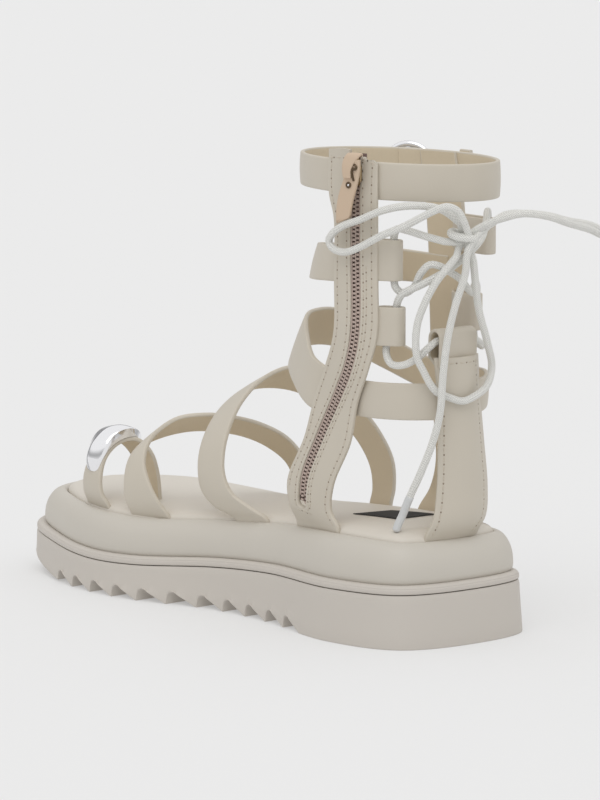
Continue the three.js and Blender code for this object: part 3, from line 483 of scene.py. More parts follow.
def cordMesh(name, path, diameter, closed=False, material=None):
    # A round tube along a path, its ring carried without twist, its UV in turns and millimetres.
    sides = lace["sides"]
    count = len(path)
    tangents = []
    for i in range(count):
        before = path[i - 1] if (i > 0 or closed) else path[0]
        after = path[(i + 1) % count] if (i < count - 1 or closed) else path[-1]
        tangents.append((after - before).normalized())
    side = tangents[0].orthogonal().normalized()
    rings, along, travelled = [], [], 0.0
    radius = diameter / 2
    for i, (point, tangent) in enumerate(zip(path, tangents)):
        if i:
            travelled += (point - path[i - 1]).length
        side = (side - tangent * side.dot(tangent)).normalized()
        across = tangent.cross(side)
        rings.append([point + (side * math.cos(a) + across * math.sin(a)) * radius
                      for a in (2 * math.pi * k / sides for k in range(sides))])
        along.append(travelled)
    if not closed:
        # Each end is rounded off by three smaller rings.
        first, last = [], []
        for step in (0.98, 0.8, 0.45):
            reach = math.sqrt(1 - step * step) * radius * lace["endRoundness"]
            first.append([path[0] - tangents[0] * reach + (v - path[0]) * step for v in rings[0]])
            last.append([path[-1] + tangents[-1] * reach + (v - path[-1]) * step for v in rings[-1]])
        rings = first[::-1] + rings + last
        along = [0.0] * 3 + along + [travelled] * 3
    vertices, faces, uvs = [], [], []
    for ring, distance in zip(rings, along):
        vertices += ring + [ring[0].copy()]
        uvs += [(k / sides, distance) for k in range(sides + 1)]
    width = sides + 1
    rows = len(rings)
    for r in range(rows if closed else rows - 1):
        low, high = r * width, ((r + 1) % rows) * width
        for k in range(sides):
            faces.append((low + k, low + k + 1, high + k + 1, high + k))
    if not closed:
        faces.append(tuple(range(sides))[::-1])
        faces.append(tuple((rows - 1) * width + k for k in range(sides)))
    return makePiece(name, vertices, facingOut(vertices, faces), [material or looks["lace"]], uvs=uvs)


def lacePath(name):
    rough = spline(laceRoutes[name], 20 * len(laceRoutes[name]))
    return evenly(rough, max(8, int(routeLength(rough) / lace["spacing"])))


def makeLace():
    routes = {key: lacePath(key) for key in laceRoutes}
    laced = joinPieces("laceThroughTunnels", [
        cordMesh("lacedLower", routes["lower"], lace["diameter"]),
        cordMesh("lacedUpper", routes["upper"], lace["diameter"]),
    ])
    settle(laced, "lace_cord", "lace_crossings")
    free = {
        "laceLoopLeft": ("loopLeft", "lace_loop_left", "object", "hanging"),
        "laceLoopRight": ("loopRight", "lace_loop_right", "object", "loose"),
        "laceLoopDown": ("loopDown", "lace_loop_down", "object", "hanging"),
        "laceEnd": ("end", "lace_end", "fitting", "hanging"),
    }
    tip = makeAglet()
    for name, (key, node, farEnd, lay) in free.items():
        path = routes[key]
        piece = cordMesh(name, path, lace["diameter"])
        settle(piece, "lace_cord", node)
        path[0] * mm
        routeLength(path) * mm
        [p * mm for p in path]


aglet = {
    "route": [(-24.15, -115.6, 59.6), (-24.4, -113.4, 55.4), (-24.6, -111.8, 52), (-25.6, -110.6, 48.6),
              (-26.3, -110, 46)],
    "diameter": 3.3,
}


def makeAglet():
    tip = cordMesh("laceTip", spline(aglet["route"], 16), aglet["diameter"], material=looks["aglet"])
    settle(tip, "lace_cord")
    return tip


knot = {
    "centre": (-10.4, -131.2, 164.4), "halfWidth": 4.7, "halfDepth": 3.5, "rise": 1.5, "wave": 0.5,
    "cord": 3.3, "steps": 36, "strand": 0.97,
    "right": (0.769, -0.640, 0.0), "front": (-0.64, -0.77, 0.0),
    "cores": [
        [(-11.1, -134.2, 156), (-10.2, -134.6, 160), (-6.5, -135, 164.4), (-0.6, -135.6, 168.6)],
        [(-6.2, -132.8, 154.6), (-7.4, -131.8, 160), (-10, -131, 165.4), (-12.2, -131.6, 169.9)],
        [(-13.6, -131, 156.6), (-10.6, -130, 161), (-6, -134, 167), (-2.2, -141.4, 171.2)],
        [(-13.2, -135.4, 170.2), (-10.6, -134.6, 165.4), (-8, -131.4, 160.6), (-6.4, -129.4, 158.6)],
        [(-16.2, -127, 162.5), (-13, -129, 162.2), (-8.6, -131, 162), (-4.6, -131.4, 161)],
    ],
}


def makeKnot():
    # One turn of cord round the strands that meet in the bow.
    centre, right, front = Vector(knot["centre"]), Vector(knot["right"]), Vector(knot["front"])
    turn = []
    for k in range(knot["steps"]):
        angle = 2 * math.pi * k / knot["steps"]
        turn.append(centre + right * (knot["halfWidth"] * math.cos(angle))
                    + front * (knot["halfDepth"] * math.sin(angle))
                    + Vector((0, 0, -knot["rise"] * math.cos(angle) + knot["wave"] * math.sin(2 * angle))))
    pieces = [cordMesh("knotTurn", turn, knot["cord"], closed=True)]
    for k, core in enumerate(knot["cores"]):
        pieces.append(cordMesh(f"knotCore{k}", spline(core, 14), lace["diameter"] * knot["strand"]))
    settle(joinPieces("laceKnot", pieces), "lace_cord", "lace_knot")


makeLace()
makeKnot()
print("lace ready")

# Sole: outsole with its cleats, welt, padded midsole and insole.

sole = {
    "outline": [
        (-1.3, -130.8, 0), (-35.4, -123, 0), (-45, -91, 0), (-37.1, -41, 0), (-37.2, -6, 0), (-49.2, 34, 0),
        (-50.8, 64, 0), (-43.7, 97, 0), (-31, 123.1, 0), (-4.4, 131, 0), (21.8, 123, 0), (44, 94, 0),
        (51, 54, 0), (45.8, 9, 0), (39.6, -41, 0), (32.7, -91, 0), (28.5, -123.1, 0),
    ],
    "toePoint": 9,
    "groove": [(-131, 21.9), (-90, 21.3), (-45, 20.1), (-5, 17.6), (35, 14.7), (65, 14.1), (100, 16.1), (131, 19.1)],
    "crest": [(-131, 42.4), (-90, 43.8), (-45, 41.2), (-5, 37.8), (35, 35.2), (65, 35.2), (100, 37.0), (131, 39.6)],
    "springStart": 64, "toeSpring": 6.6, "halfLength": 131, "flare": 1.5, "weltHeight": 4.0,
    "cleatPitch": 14.45, "cleatTip": 1.5, "cleatCount": 11, "firstCleat": 88.15, "cleatDepth": 5.2,
    "recessInset": 10.2, "step": 1.7,
    # At the toe every edge is rounder: where that starts, over what length, and by how much.
    "toeStart": 88, "toeRun": 40, "edgeRadius": 0.5, "toeEdgeRadius": 3.6, "toeOut": 1.1, "toePadIn": 2.6,
    "toePadLow": 0.06,
    "grooveGap": 0.35,
    # Outward and part of the height, up the outsole's wall.
    "wall": [(1.125, 0.28), (0.75, 0.5), (0.3, 0.8), (0.15, 0.93), (0.0, 0.96)],
    # Inset and height over the groove, up the welt.
    "welt": [(1.5, 0.1), (0.5, 0.26), (0.12, 0.45), (0.0, 0.8), (0.0, 1.9), (0.1, 2.2), (0.32, 2.35), (0.42, 2.48),
             (0.36, 2.62), (0.5, 2.85), (0.8, 3.15), (1.25, 3.45), (1.8, 3.68), (2.4, 3.78), (3.1, 3.75), (4.2, 3.6)],
    # Inset and part of the height, round the padded edge.
    "pad": [(3.5, -0.03), (2.8, 0.03), (2.45, 0.13), (2.55, 0.3), (3.2, 0.5), (4.5, 0.68), (6.2, 0.82), (8.0, 0.9),
            (9.4, 0.92), (10.3, 0.89), (10.9, 0.8), (11.1, 0.68)],
    # Inset and height against the crest, over the insole's edge.
    "insole": [(0.7, -4.4), (0.35, -2.6), (0.55, -1.4), (1.2, -0.4), (2.3, 0.5), (3.8, 1.2), (5.6, 1.65), (7.6, 1.9)],
}


def smoothTable(table, y):
    # A cubic through the rows of a table of heights.
    spans = len(table) - 1
    k = 0
    while k < spans - 1 and y > table[k + 1][0]:
        k += 1
    (y0, h0), (y1, h1) = table[k], table[k + 1]
    slope = (h1 - h0) / (y1 - y0)
    before = slope if k == 0 else (h1 - table[k - 1][1]) / (y1 - table[k - 1][0])
    after = slope if k + 2 > spans else (table[k + 2][1] - h0) / (table[k + 2][0] - y0)
    w = max(0.0, min(1.0, (y - y0) / (y1 - y0)))
    span = y1 - y0
    return ((1 + 2 * w) * (1 - w) ** 2 * h0 + w * (1 - w) ** 2 * span * before
            + w * w * (3 - 2 * w) * h1 + w * w * (w - 1) * span * after)


def grooveAt(y):
    return smoothTable(sole["groove"], y)


def crestAt(y):
    return smoothTable(sole["crest"], y)


def groundAt(y):
    past = max(0.0, y - sole["springStart"]) / (sole["halfLength"] - sole["springStart"])
    return sole["toeSpring"] * past * past


def cleatCorners():
    # Along the foot: where each notch between two cleats starts, turns and ends, with its depth there.
    corners = []
    for k in range(sole["cleatCount"]):
        front = sole["firstCleat"] - sole["cleatTip"] / 2 - k * sole["cleatPitch"]
        rear = front - sole["cleatPitch"] + sole["cleatTip"]
        depth = sole["cleatDepth"]
        corners.append([
            (front + 0.9, 0), (front + 0.6, 0.3), (front + 0.25, depth - 2.0), (front - 0.1, depth - 0.95),
            (front - 0.8, depth - 0.3), (front - 1.8, depth), (front - 2.8, depth - 0.05),
            (front - 3.7, depth - 0.45), (front - 4.5, depth - 1.1), (rear + 0.6, 0.35), (rear + 0.1, 0.06),
            (rear - 0.1, 0)])
    return corners


notches = cleatCorners()


def treadAt(y):
    for corners in notches:
        if corners[-1][0] <= y <= corners[0][0]:
            for (a, ha), (b, hb) in zip(corners, corners[1:]):
                if b <= y <= a:
                    return max(groundAt(y), ha + (hb - ha) * (a - y) / (a - b))
    return groundAt(y)


def soleSamples():
    # Points round the sole with their outward directions: the same places along the foot on both sides.
    fine = 900
    toe = sole["toePoint"] / len(sole["outline"])
    given = [Vector(p) for p in sole["outline"]]
    sides = []
    for start, end in ((0, toe), (1, toe)):
        line = [splinePoint(given, start + (end - start) * k / fine, True) for k in range(fine + 1)]
        sign = 1 if start == 0 else -1
        side = []
        for k, point in enumerate(line):
            tangent = (line[min(k + 1, fine)] - line[max(k - 1, 0)]).normalized() * sign
            out = Vector((-tangent.y, tangent.x, 0))
            side.append((point + out * sole["flare"], point, out))
        sides.append(side)
    inner, outer = sides
    low = max(inner[0][0].y, outer[0][0].y)
    high = min(inner[-1][0].y, outer[-1][0].y)
    places = []
    travelled = 0.0
    for (a, _, _), (b, _, _) in zip(inner, inner[1:]):
        travelled += (b - a).length
        if travelled >= sole["step"]:
            places.append(b.y)
            travelled = 0.0
    corners = [y for group in notches for y, _ in group]
    places = [y for y in places if low + 0.2 < y < high - 0.2 and all(abs(y - c) > 0.35 for c in corners)]
    places = sorted(places + corners)

    def along(side, y):
        for (fa, pa, oa), (fb, pb, ob) in zip(side, side[1:]):
            if fa.y <= y <= fb.y:
                w = (y - fa.y) / max(fb.y - fa.y, 1e-9)
                return pa.lerp(pb, w), oa.lerp(ob, w).normalized()
        return side[-1][1:]

    left = [along(inner, y) for y in places]
    right = [along(outer, y) for y in places]
    heel, tip = (inner[0][1], Vector((0, -1, 0))), (inner[-1][1], Vector((0, 1, 0)))
    return [heel] + left + [tip] + right[::-1]


outline = soleSamples()


def soleRing(inset, heightOf, drop=0.0):
    # inset and drop are millimetres, or functions of the place along the foot.
    ring = []
    for point, out in outline:
        moved = point - out * (inset(point.y) if callable(inset) else inset)
        moved.z = heightOf(moved.y) + (drop(point.y) if callable(drop) else drop)
        ring.append(moved)
    return ring


def weltTopAt(y):
    return grooveAt(y) + sole["weltHeight"]


def stackSole(name, rings, columns, material, crown=0.0, sharp=None):
    # Rings round the sole, closed top and bottom by strips that run from the inner to the outer side.
    count = len(rings[0])
    vertices = [v for ring in rings for v in ring]
    faces = []
    for r in range(len(rings) - 1):
        for i in range(count):
            j = (i + 1) % count
            faces.append((r * count + i, r * count + j, (r + 1) * count + j, (r + 1) * count + i))
    half = count // 2

    def cap(start, rise, flip):
        lines = [[start] * (columns + 1)]
        for i in range(1, half):
            a, b = start + i, start + count - i
            line = [a]
            for k in range(1, columns):
                w = k / columns
                point = vertices[a].lerp(vertices[b], w)
                point.z += rise * (1 - (2 * w - 1) ** 4) * min(1.0, i / 6, (half - i) / 6)
                vertices.append(point)
                line.append(len(vertices) - 1)
            lines.append(line + [b])
        lines.append([start + half] * (columns + 1))
        for near, far in zip(lines, lines[1:]):
            for k in range(columns):
                corners = []
                for v in (near[k], near[k + 1], far[k + 1], far[k]):
                    if v not in corners:
                        corners.append(v)
                if len(corners) > 2:
                    faces.append(tuple(corners[::-1] if flip else corners))

    wall = facingOut(vertices, faces)
    turned = wall is not faces
    faces = wall
    cap(0, 0.0, turned)
    cap((len(rings) - 1) * count, crown, not turned)
    piece = makePiece(name, vertices, faces, [material])
    sew = bmesh.new()
    sew.from_mesh(piece.data)
    bmesh.ops.recalc_face_normals(sew, faces=sew.faces)
    sew.to_mesh(piece.data)
    sew.free()
    if sharp:
        piece.data.set_sharp_from_angle(angle=math.radians(sharp))
    return piece


def toeAt(y):
    # 0 along the foot, rising to 1 at the tip of the toe.
    past = max(0.0, min(1.0, (y - sole["toeStart"]) / sole["toeRun"]))
    return past * past * (3 - 2 * past)


def makeSole():
    flare, gap, toeOut, toePadIn = sole["flare"], sole["grooveGap"], sole["toeOut"], sole["toePadIn"]

    def edge(y):
        # The lower edge is crisp along the cleats and well rounded at the toe.
        return sole["edgeRadius"] + sole["toeEdgeRadius"] * toeAt(y)

    def edgeRing(angle):
        return soleRing(lambda y: edge(y) * (1 - math.cos(angle)) - flare, treadAt,
                        lambda y: edge(y) * (1 - math.sin(angle)))

    def wallRing(out, rise):
        def height(y):
            ground = groundAt(y)
            return max(ground + rise * (grooveAt(y) - gap - ground), treadAt(y) + edge(y) + 0.1)

        return soleRing(lambda y: -out - (flare - out) * 0.75 * toeAt(y), height)

    rings = [edgeRing(math.radians(degrees)) for degrees in (90, 68, 45, 22, 0)]
    rings += [wallRing(out, rise) for out, rise in sole["wall"]]
    rings.append(soleRing(lambda y: gap - toeOut * toeAt(y), lambda y: grooveAt(y) - 0.12))
    rings.append(soleRing(1.1, lambda y: grooveAt(y) - 0.1))
    settle(stackSole("outsoleBody", rings, 6, looks["rubber"], sharp=38), "outsole_rubber", "outsole")

    rings = [soleRing(lambda y, inset=inset: inset - toeOut * toeAt(y), grooveAt, rise) for inset, rise in sole["welt"]]
    settle(stackSole("weltBand", rings, 2, looks["rubber"], sharp=50), "outsole_rubber", "welt")

    def padRing(inset, rise, inward):
        # inward runs from 0 at the bottom of the pad to 1 at its inner edge.
        def height(y):
            low = weltTopAt(y)
            return low + rise * (1 - sole["toePadLow"] * toeAt(y)) * (crestAt(y) - low)

        return soleRing(lambda y: inset + toePadIn * toeAt(y) * inward ** 2, height)

    shape = spline([(inset, rise, 0) for inset, rise in sole["pad"]], 28)
    rings = [padRing(step.x, step.y, k / 27) for k, step in enumerate(shape)]
    midsole = stackSole("midsolePad", rings, 4, looks["midsole"])
    settle(midsole, "midsole_cover", "midsole")

    rings = [soleRing(lambda y, inset=sole["recessInset"] + step: inset + toePadIn * toeAt(y),
                      lambda y: crestAt(y) - toeOut * toeAt(y), rise) for step, rise in sole["insole"]]
    insole = stackSole("insolePad", rings, 16, looks["insole"], crown=0.45)
    settle(insole, "insole_lining", "insole")


makeSole()
print("sole ready")

# Straps: rows of points from one edge to the other, given a thickness with rounded edges.

strapLook = {"thickness": 1.8, "crown": 0.22, "corner": 0.6, "columns": 8}
ankleMiddle, counterMiddle, stayMiddle = (0, -81, 120), (0, -85, 80), (0, -81, 110)
# How far each piece of the shaft stands outside its own middle surface.
lifts = {"panel": 0.35, "counter": 0.6, "stay": -0.1, "strap": -0.2, "innerStrap": -0.25, "heelLoop": 0.25}
leatherParts = [looks["strap"], looks["lining"], looks["edge"]]


def acrossPoint(ends, v):
    if len(ends) == 2:
        return ends[0].lerp(ends[1], v)
    return (ends[0] * (2 * (v - 0.5) * (v - 1)) + ends[1] * (4 * v * (1 - v)) + ends[2] * (2 * v * (v - 0.5)))


def sectionRows(sections, steps, columns=None):
    columns = columns or strapLook["columns"]
    lines = [[Vector(section[j]) for section in sections] for j in range(len(sections[0]))]
    rows = []
    for i in range(steps + 1):
        ends = [splinePoint(line, i / steps) for line in lines]
        rows.append([acrossPoint(ends, j / columns) for j in range(columns + 1)])
    return rows


def rowNormals(rows, inside):
    inside = Vector(inside)
    normals, leaning = [], 0.0
    for i, row in enumerate(rows):
        before, after = rows[max(i - 1, 0)], rows[min(i + 1, len(rows) - 1)]
        line = []
        for j, point in enumerate(row):
            along = after[j] - before[j]
            across = row[min(j + 1, len(row) - 1)] - row[max(j - 1, 0)]
            normal = along.cross(across).normalized()
            leaning += normal.dot(point - inside)
            line.append(normal)
        normals.append(line)
    return normals if leaning > 0 else [[-n for n in line] for line in normals]


def stepAcross(row, line, distance):
    # The point and the normal at a distance from the row's first edge, or from its last where negative.
    total = routeLength(row)
    wanted = distance if distance >= 0 else total + distance
    for k in range(len(row) - 1):
        span = (row[k + 1] - row[k]).length
        if wanted <= span or k == len(row) - 2:
            w = wanted / span if span else 0
            return row[k].lerp(row[k + 1], w), line[k].lerp(line[k + 1], max(0.0, min(1.0, w))).normalized()
        wanted -= span


def strapMesh(name, rows, inside, lift=0.0, thickness=None, crown=None, corners=None, materials=None):
    thickness = thickness or strapLook["thickness"]
    crown = strapLook["crown"] if crown is None else crown
    half = thickness / 2
    normals = rowNormals(rows, inside)
    columns = len(rows[0]) - 1
    rings = []
    risingAngles = [math.radians(angle) for angle in (0, 30, 60)]
    for i, (row, line) in enumerate(zip(rows, normals)):
        width = routeLength(row)
        first, second = (strapLook["corner"],) * 2 if corners is None else corners(i)
        first, second = (min(c, half * 0.92, width * 0.45) for c in (first, second))
        loop = []
        for j in range(columns + 1):
            w = j / columns
            loop.append((first + (width - first - second) * w, half + crown * (1 - (2 * w - 1) ** 2)))
        rim = width - second
        loop += [(rim + second * math.cos(a), half - second + second * math.sin(a)) for a in risingAngles[::-1]]
        loop += [(rim + second * math.cos(a), second - half - second * math.sin(a)) for a in risingAngles]
        loop += [(first + (width - first - second) * j / columns, -half) for j in range(columns, -1, -1)]
        loop += [(first - first * math.cos(a), first - half - first * math.sin(a)) for a in risingAngles[::-1]]
        loop += [(first - first * math.cos(a), half - first + first * math.sin(a)) for a in risingAngles]
        ring = []
        for across, out in loop:
            point, normal = stepAcross(row, line, max(0.0, across))
            ring.append(point + normal * (out + lift))
        rings.append(ring)
    vertices, faces = loft(rings)
    loopSlots = [0] * columns + [2] * 7 + [1] * columns + [2] * 7
    slots = loopSlots * (len(rings) - 1) + [2, 2]
    return makePiece(name, vertices, facingOut(vertices, faces), materials or leatherParts, faceSlots=slots, sharp=56)


toeLoopSections = [
    ((-34.6, 81, 29.8), (-37.4, 61, 29.8)), ((-36.5, 80.5, 35.5), (-39.6, 62, 35.5)),
    ((-39.2, 79.8, 41), (-41.4, 64.5, 41)), ((-39.6, 78.8, 48), (-41, 65.6, 48)),
    ((-36.5, 77.5, 56), (-38, 65.6, 56.5)), ((-31, 76.5, 61), (-31.8, 63.8, 62.2)),
    ((-24.5, 75, 61), (-24.5, 61, 62.9)), ((-20.4, 72, 56), (-19.2, 58.6, 57.4)),
    ((-18.8, 69, 48), (-17.8, 56, 50)), ((-18.8, 66, 38.2), (-18.6, 53, 38.2)),
    ((-18.8, 65.4, 29.8), (-18.8, 52.6, 29.8)),
]
ballStrapSections = [
    ((-38, 45.5, 29.4), (-34.2, 24.5, 29.6)), ((-39, 46.5, 34), (-35.4, 25, 34.6)),
    ((-40.4, 49.2, 40.5), (-38.6, 29, 41.5)), ((-40, 50.4, 48), (-39.4, 34.5, 49.5)),
    ((-36, 52.6, 56), (-36.6, 41, 58)), ((-30, 53.4, 61), (-30.4, 43.6, 66.4)),
    ((-21, 50, 65), (-23, 36.5, 74.6)), ((-10, 43.2, 67.6), (-13, 29, 76.4)),
    ((3, 39.8, 66.4), (1, 25.6, 74.2)), ((15, 37, 63.4), (15, 24, 69.8)),
    ((26, 34.6, 58), (27.4, 22.6, 63)), ((34.4, 32, 50.5), (34.6, 20.5, 54)),
    ((37, 29.6, 41.5), (36, 15, 43)), ((35.8, 28, 35.5), (34.4, 9, 36.2)),
    ((35.2, 28, 29.4), (33.6, 9, 30.4)),
]
instepStrapSections = [
    ((-25.8, -8.5, 32.2), (-24.6, -29, 34)), ((-27, -8, 38), (-26, -28.6, 39.6)),
    ((-30.2, 2, 42.4), (-29.2, -22.5, 43.6)), ((-31.6, 8.2, 48.5), (-32.4, -13, 49.3)),
    ((-31.6, 10.4, 57), (-32.8, -8, 57)), ((-29, 12, 65.5), (-30.6, -5.4, 66.4)),
    ((-22.4, 14, 74.6), (-25.4, -3.4, 76.6)), ((-13, 15.6, 82), (-18, -2, 85.8)),
    ((-1, 15.4, 87.4), (-6, -1, 94)), ((10, 9, 88), (6, -5, 98.6)),
    ((18, 0, 85), (16, -14.5, 95.4)), ((24, -11, 77.4), (23.6, -24, 85.6)),
    ((28.4, -21.4, 67.6), (28.8, -34, 74)), ((30.6, -27.8, 56.6), (31.8, -41, 60.6)),
    ((30.6, -29.6, 47), (31.2, -42.8, 49)), ((29.2, -29.4, 40.4), (29, -43.2, 42)),
    ((29, -29.4, 34.4), (28.6, -43.2, 35.4)),
]
shinStrapSections = [
    ((-33.6, -86, 158.4), (-33.8, -86, 144.2)), ((-33.4, -78, 158.4), (-34.2, -78, 144)),
    ((-29.5, -67, 158), (-32.2, -66, 143.4)), ((-21, -56.6, 157), (-23.6, -53.8, 142.4)),
    ((-7, -51.4, 155.4), (-7.6, -46.6, 141)), ((10, -51, 153.4), (11, -45.6, 139.4)),
    ((23.4, -54, 151.4), (25, -51, 137.8)), ((31, -63, 150), (32, -61.6, 137)),
    ((33.4, -74, 149.4), (34, -73, 136.4)),
]
heelStrapOuterSections = [
    ((-33, -77, 107.6), (-33.6, -72, 89.6)), ((-31.6, -64, 112.4), (-32.6, -62, 92)),
    ((-27.6, -56, 119), (-28.6, -50, 97.4)), ((-22.6, -49.2, 126), (-20.6, -36, 105)),
    ((-10, -40.6, 127.6), (-8, -28.8, 110.4)), ((3, -38.2, 126.6), (6, -28.4, 110.4)),
    ((14, -41.6, 121.4), (16, -34.4, 106.4)), ((24.6, -49.4, 113.4), (24.4, -45, 100)),
    ((30.4, -60, 107.6), (30, -58, 94.2)), ((32.4, -75, 105.4), (32, -75, 91)),
    ((30.4, -95, 105.6), (30, -95, 91)), ((20.6, -111.4, 106.4), (20.4, -111, 94)),
    ((9, -122.2, 106), (8.8, -122.2, 92.4)), ((-4, -124.6, 105.4), (-4, -124.6, 90.8)),
]
heelStrapInnerSections = [
    ((-32, -92, 105.4), (-32.2, -88, 90.6)), ((-30.6, -102, 105.2), (-30.4, -101.6, 90.4)),
    ((-25.4, -112.6, 105.2), (-25.2, -112.6, 90.4)), ((-16, -120.4, 105.2), (-15.8, -120.4, 90.4)),
    ((-6, -124.4, 105.2), (-6, -124.4, 90.4)),
]
counterSections = [
    ((-17.2, -121.6, 115.8), (-6, -126.2, 115.8), (4.8, -121.8, 115.8)),
    ((-15.6, -122, 100), (-5, -126.6, 100), (5.8, -122, 100)),
    ((-15.2, -122, 80), (-3.6, -126.6, 80), (8, -122.2, 80)),
    ((-15.4, -121.6, 62), (-2.6, -126.2, 62), (10.4, -121.8, 62)),
    ((-16.6, -120.6, 50), (-2.8, -124.8, 50), (10.6, -120.8, 50)),
    ((-18.6, -117.8, 43), (-4, -119.6, 43), (8.8, -118, 43)),
    ((-18.4, -117.2, 38), (-4, -118.9, 38), (8.8, -117.2, 38)),
]
staySections = [
    ((30.2, -59.4, 192), (32.8, -68, 192), (34, -77.5, 192)), ((31, -62, 172), (33.2, -71, 172), (34, -82, 172)),
    ((31.8, -63.4, 150), (33.6, -73, 150), (34, -83.5, 150)), ((32, -64, 126), (33.6, -73.4, 126), (33.8, -83.5, 126)),
    ((31.8, -65.4, 104), (32.8, -74, 104), (32.8, -83.5, 104)), ((30.6, -68.4, 82), (31, -76.6, 82), (30.6, -85.4, 82)),
    ((29.6, -71, 64), (29.8, -79, 64), (29.2, -87.6, 64)), ((29, -68, 52), (28.4, -77.4, 52), (27.2, -87.8, 52)),
    ((25.8, -64.4, 43), (24.4, -75, 43.4), (22.8, -86.6, 43.6)),
    ((25.4, -64.2, 36.8), (24, -75, 37.4), (22.4, -86.6, 38.2)),
]
panelSections = [
    ((-36.2, -80.6, 197.5), (-34.9, -94.8, 197.5), (-31.4, -104.3, 192.6)),
    ((-36.2, -80.6, 180), (-34.9, -94.8, 180), (-31.4, -104.3, 180)),
    ((-36.4, -83.8, 170), (-34.9, -94.8, 170), (-31.4, -104.3, 170)),
    ((-36.4, -84, 146), (-34.9, -94.8, 146), (-31.4, -104.5, 146)),
    ((-36.4, -83.6, 124), (-35, -94.4, 124), (-31.8, -104.6, 124)),
    ((-35.8, -77.4, 109), (-35.2, -89.6, 109), (-33.2, -100.8, 110)),
    ((-35.2, -70, 95), (-34.8, -82.6, 95), (-33.8, -95, 96)),
    ((-35.6, -64.4, 79), (-35.8, -77.4, 79), (-34.6, -91.4, 79.5)),
    ((-37, -55.6, 61), (-37.2, -69, 61), (-35.6, -82.4, 62)),
    ((-35, -54.4, 51), (-35.6, -66.6, 51), (-34.6, -79.8, 51)),
    ((-28.4, -51, 43), (-31, -66.4, 43.4), (-34, -84, 43.8)),
    ((-26.8, -50.6, 36.4), (-29.6, -66.4, 37.2), (-33.2, -84, 38)),
]
zipLine = [
    (-35.2, -95, 200), (-35.2, -95, 160), (-35.3, -94.8, 124), (-35.6, -91, 110), (-35.4, -86, 101),
    (-35.2, -80, 91), (-35.9, -73.4, 78.5), (-37.2, -66.8, 64), (-36, -63.8, 52.5),
]


def makeFootStraps():
    for name, sections, steps, inside, node in (
            ("toeLoop", toeLoopSections, 60, (-28, 68, 40), "toe_loop"),
            ("ballStrap", ballStrapSections, 80, (0, 30, 40), "strap_ball"),
            ("instepStrap", instepStrapSections, 90, (0, -12, 50), "strap_instep")):
        settle(strapMesh(name, sectionRows(sections, steps), inside, crown=0.35), "strap_leather", node)


makeFootStraps()
print("foot straps ready")

# Shaft: zip panel, collar, shin and heel straps, counter, stay and lace tunnels.

shaft = {"centreY": -81, "halfWidth": 35.1, "halfDepth": 45.1, "tiltX": -0.018, "tiltY": 0.014}
collar = {"low": 178, "high": 193, "frontLow": 179.6, "tailStep": 1.6, "tailEnd": 94, "keeper": 84, "tipLength": 6}
zipSlot = {"half": 2.4, "rearTop": 194.0, "tapeHalf": 4.6, "tapeDepth": 1.15}


def shaftPoint(degrees, height, out=0.0):
    turn = math.radians(degrees)
    x = (shaft["halfWidth"] + out) * math.sin(turn)
    y = (shaft["halfDepth"] + out) * math.cos(turn)
    return Vector((x, shaft["centreY"] + y, height + shaft["tiltX"] * x + shaft["tiltY"] * y))


def ringRows(fromDegrees, toDegrees, low, high, outStart, outEnd=None, tip=False):
    outEnd = outStart if outEnd is None else outEnd
    count = max(2, round(abs(toDegrees - fromDegrees) / 3))
    columns = strapLook["columns"]
    rows = []
    for i in range(count + 1):
        w = i / count
        degrees = fromDegrees + (toDegrees - fromDegrees) * w
        out = outStart + (outEnd - outStart) * w * w * (3 - 2 * w)
        rows.append([shaftPoint(degrees, low, out).lerp(shaftPoint(degrees, high, out), j / columns)
                     for j in range(columns + 1)])
    if tip:
        # The tail's end narrows to a rounded tip.
        length = collar["tipLength"]
        end, before = rows[-1], rows[-2]
        forward = (end[0] - before[0]).normalized()
        for step in (0.25, 0.5, 0.7, 0.85, 0.95, 1.0):
            middle = (end[0] + end[-1]) / 2
            keep = math.sqrt(max(0.03, 1 - step * step))
            rows.append([middle + (p - middle) * keep + forward * length * step for p in end])
    return rows


def nearestOnLine(point, line):
    best = 1e9
    for a, b in zip(line, line[1:]):
        ab = b - a
        w = max(0.0, min(1.0, (point - a).dot(ab) / ab.length_squared))
        best = min(best, (point - (a + ab * w)).length)
    return best


def panelHalves():
    # The panel's rows, cut where each passes the zip's opening.
    rows = sectionRows(panelSections, 110, 30)
    line = spline(zipLine, 70)
    front, rear, joint = [], [], []
    for row in rows:
        reach = [nearestOnLine(p, line) for p in row]
        middle = reach.index(min(reach))
        if reach[middle] > zipSlot["half"]:
            cutFront = cutRear = float(middle)
            joint.append(True)
        else:
            k = middle
            while reach[k] < zipSlot["half"]:
                k -= 1
            cutFront = k + (reach[k] - zipSlot["half"]) / (reach[k] - reach[k + 1])
            k = middle
            while reach[k] < zipSlot["half"]:
                k += 1
            cutRear = k - (reach[k] - zipSlot["half"]) / (reach[k] - reach[k - 1])
            joint.append(False)
        front.append([pointAlong(row, cutFront * j / 10) for j in range(11)])
        rear.append([pointAlong(row, cutRear + (len(row) - 1 - cutRear) * j / 10) for j in range(11)])
    # Past the zip's lower end the two halves share one line, which runs to the middle of the row.
    start = joint.index(True)
    meeting = front[start - 1][-1].lerp(rear[start - 1][0], 0.5)
    first = min(range(31), key=lambda n: (rows[start][n] - meeting).length)
    for k in range(start, len(rows)):
        centre = first + (15 - first) * (k - start) / (len(rows) - 1 - start)
        front[k] = [pointAlong(rows[k], centre * j / 10) for j in range(11)]
        rear[k] = [pointAlong(rows[k], centre + (30 - centre) * j / 10) for j in range(11)]
    return front, rear, joint


def pointAlong(row, place):
    low = min(int(place), len(row) - 2)
    return row[low].lerp(row[low + 1], place - low)


tunnel = {"radius": 2.9, "folds": 12, "thickness": 1.4}


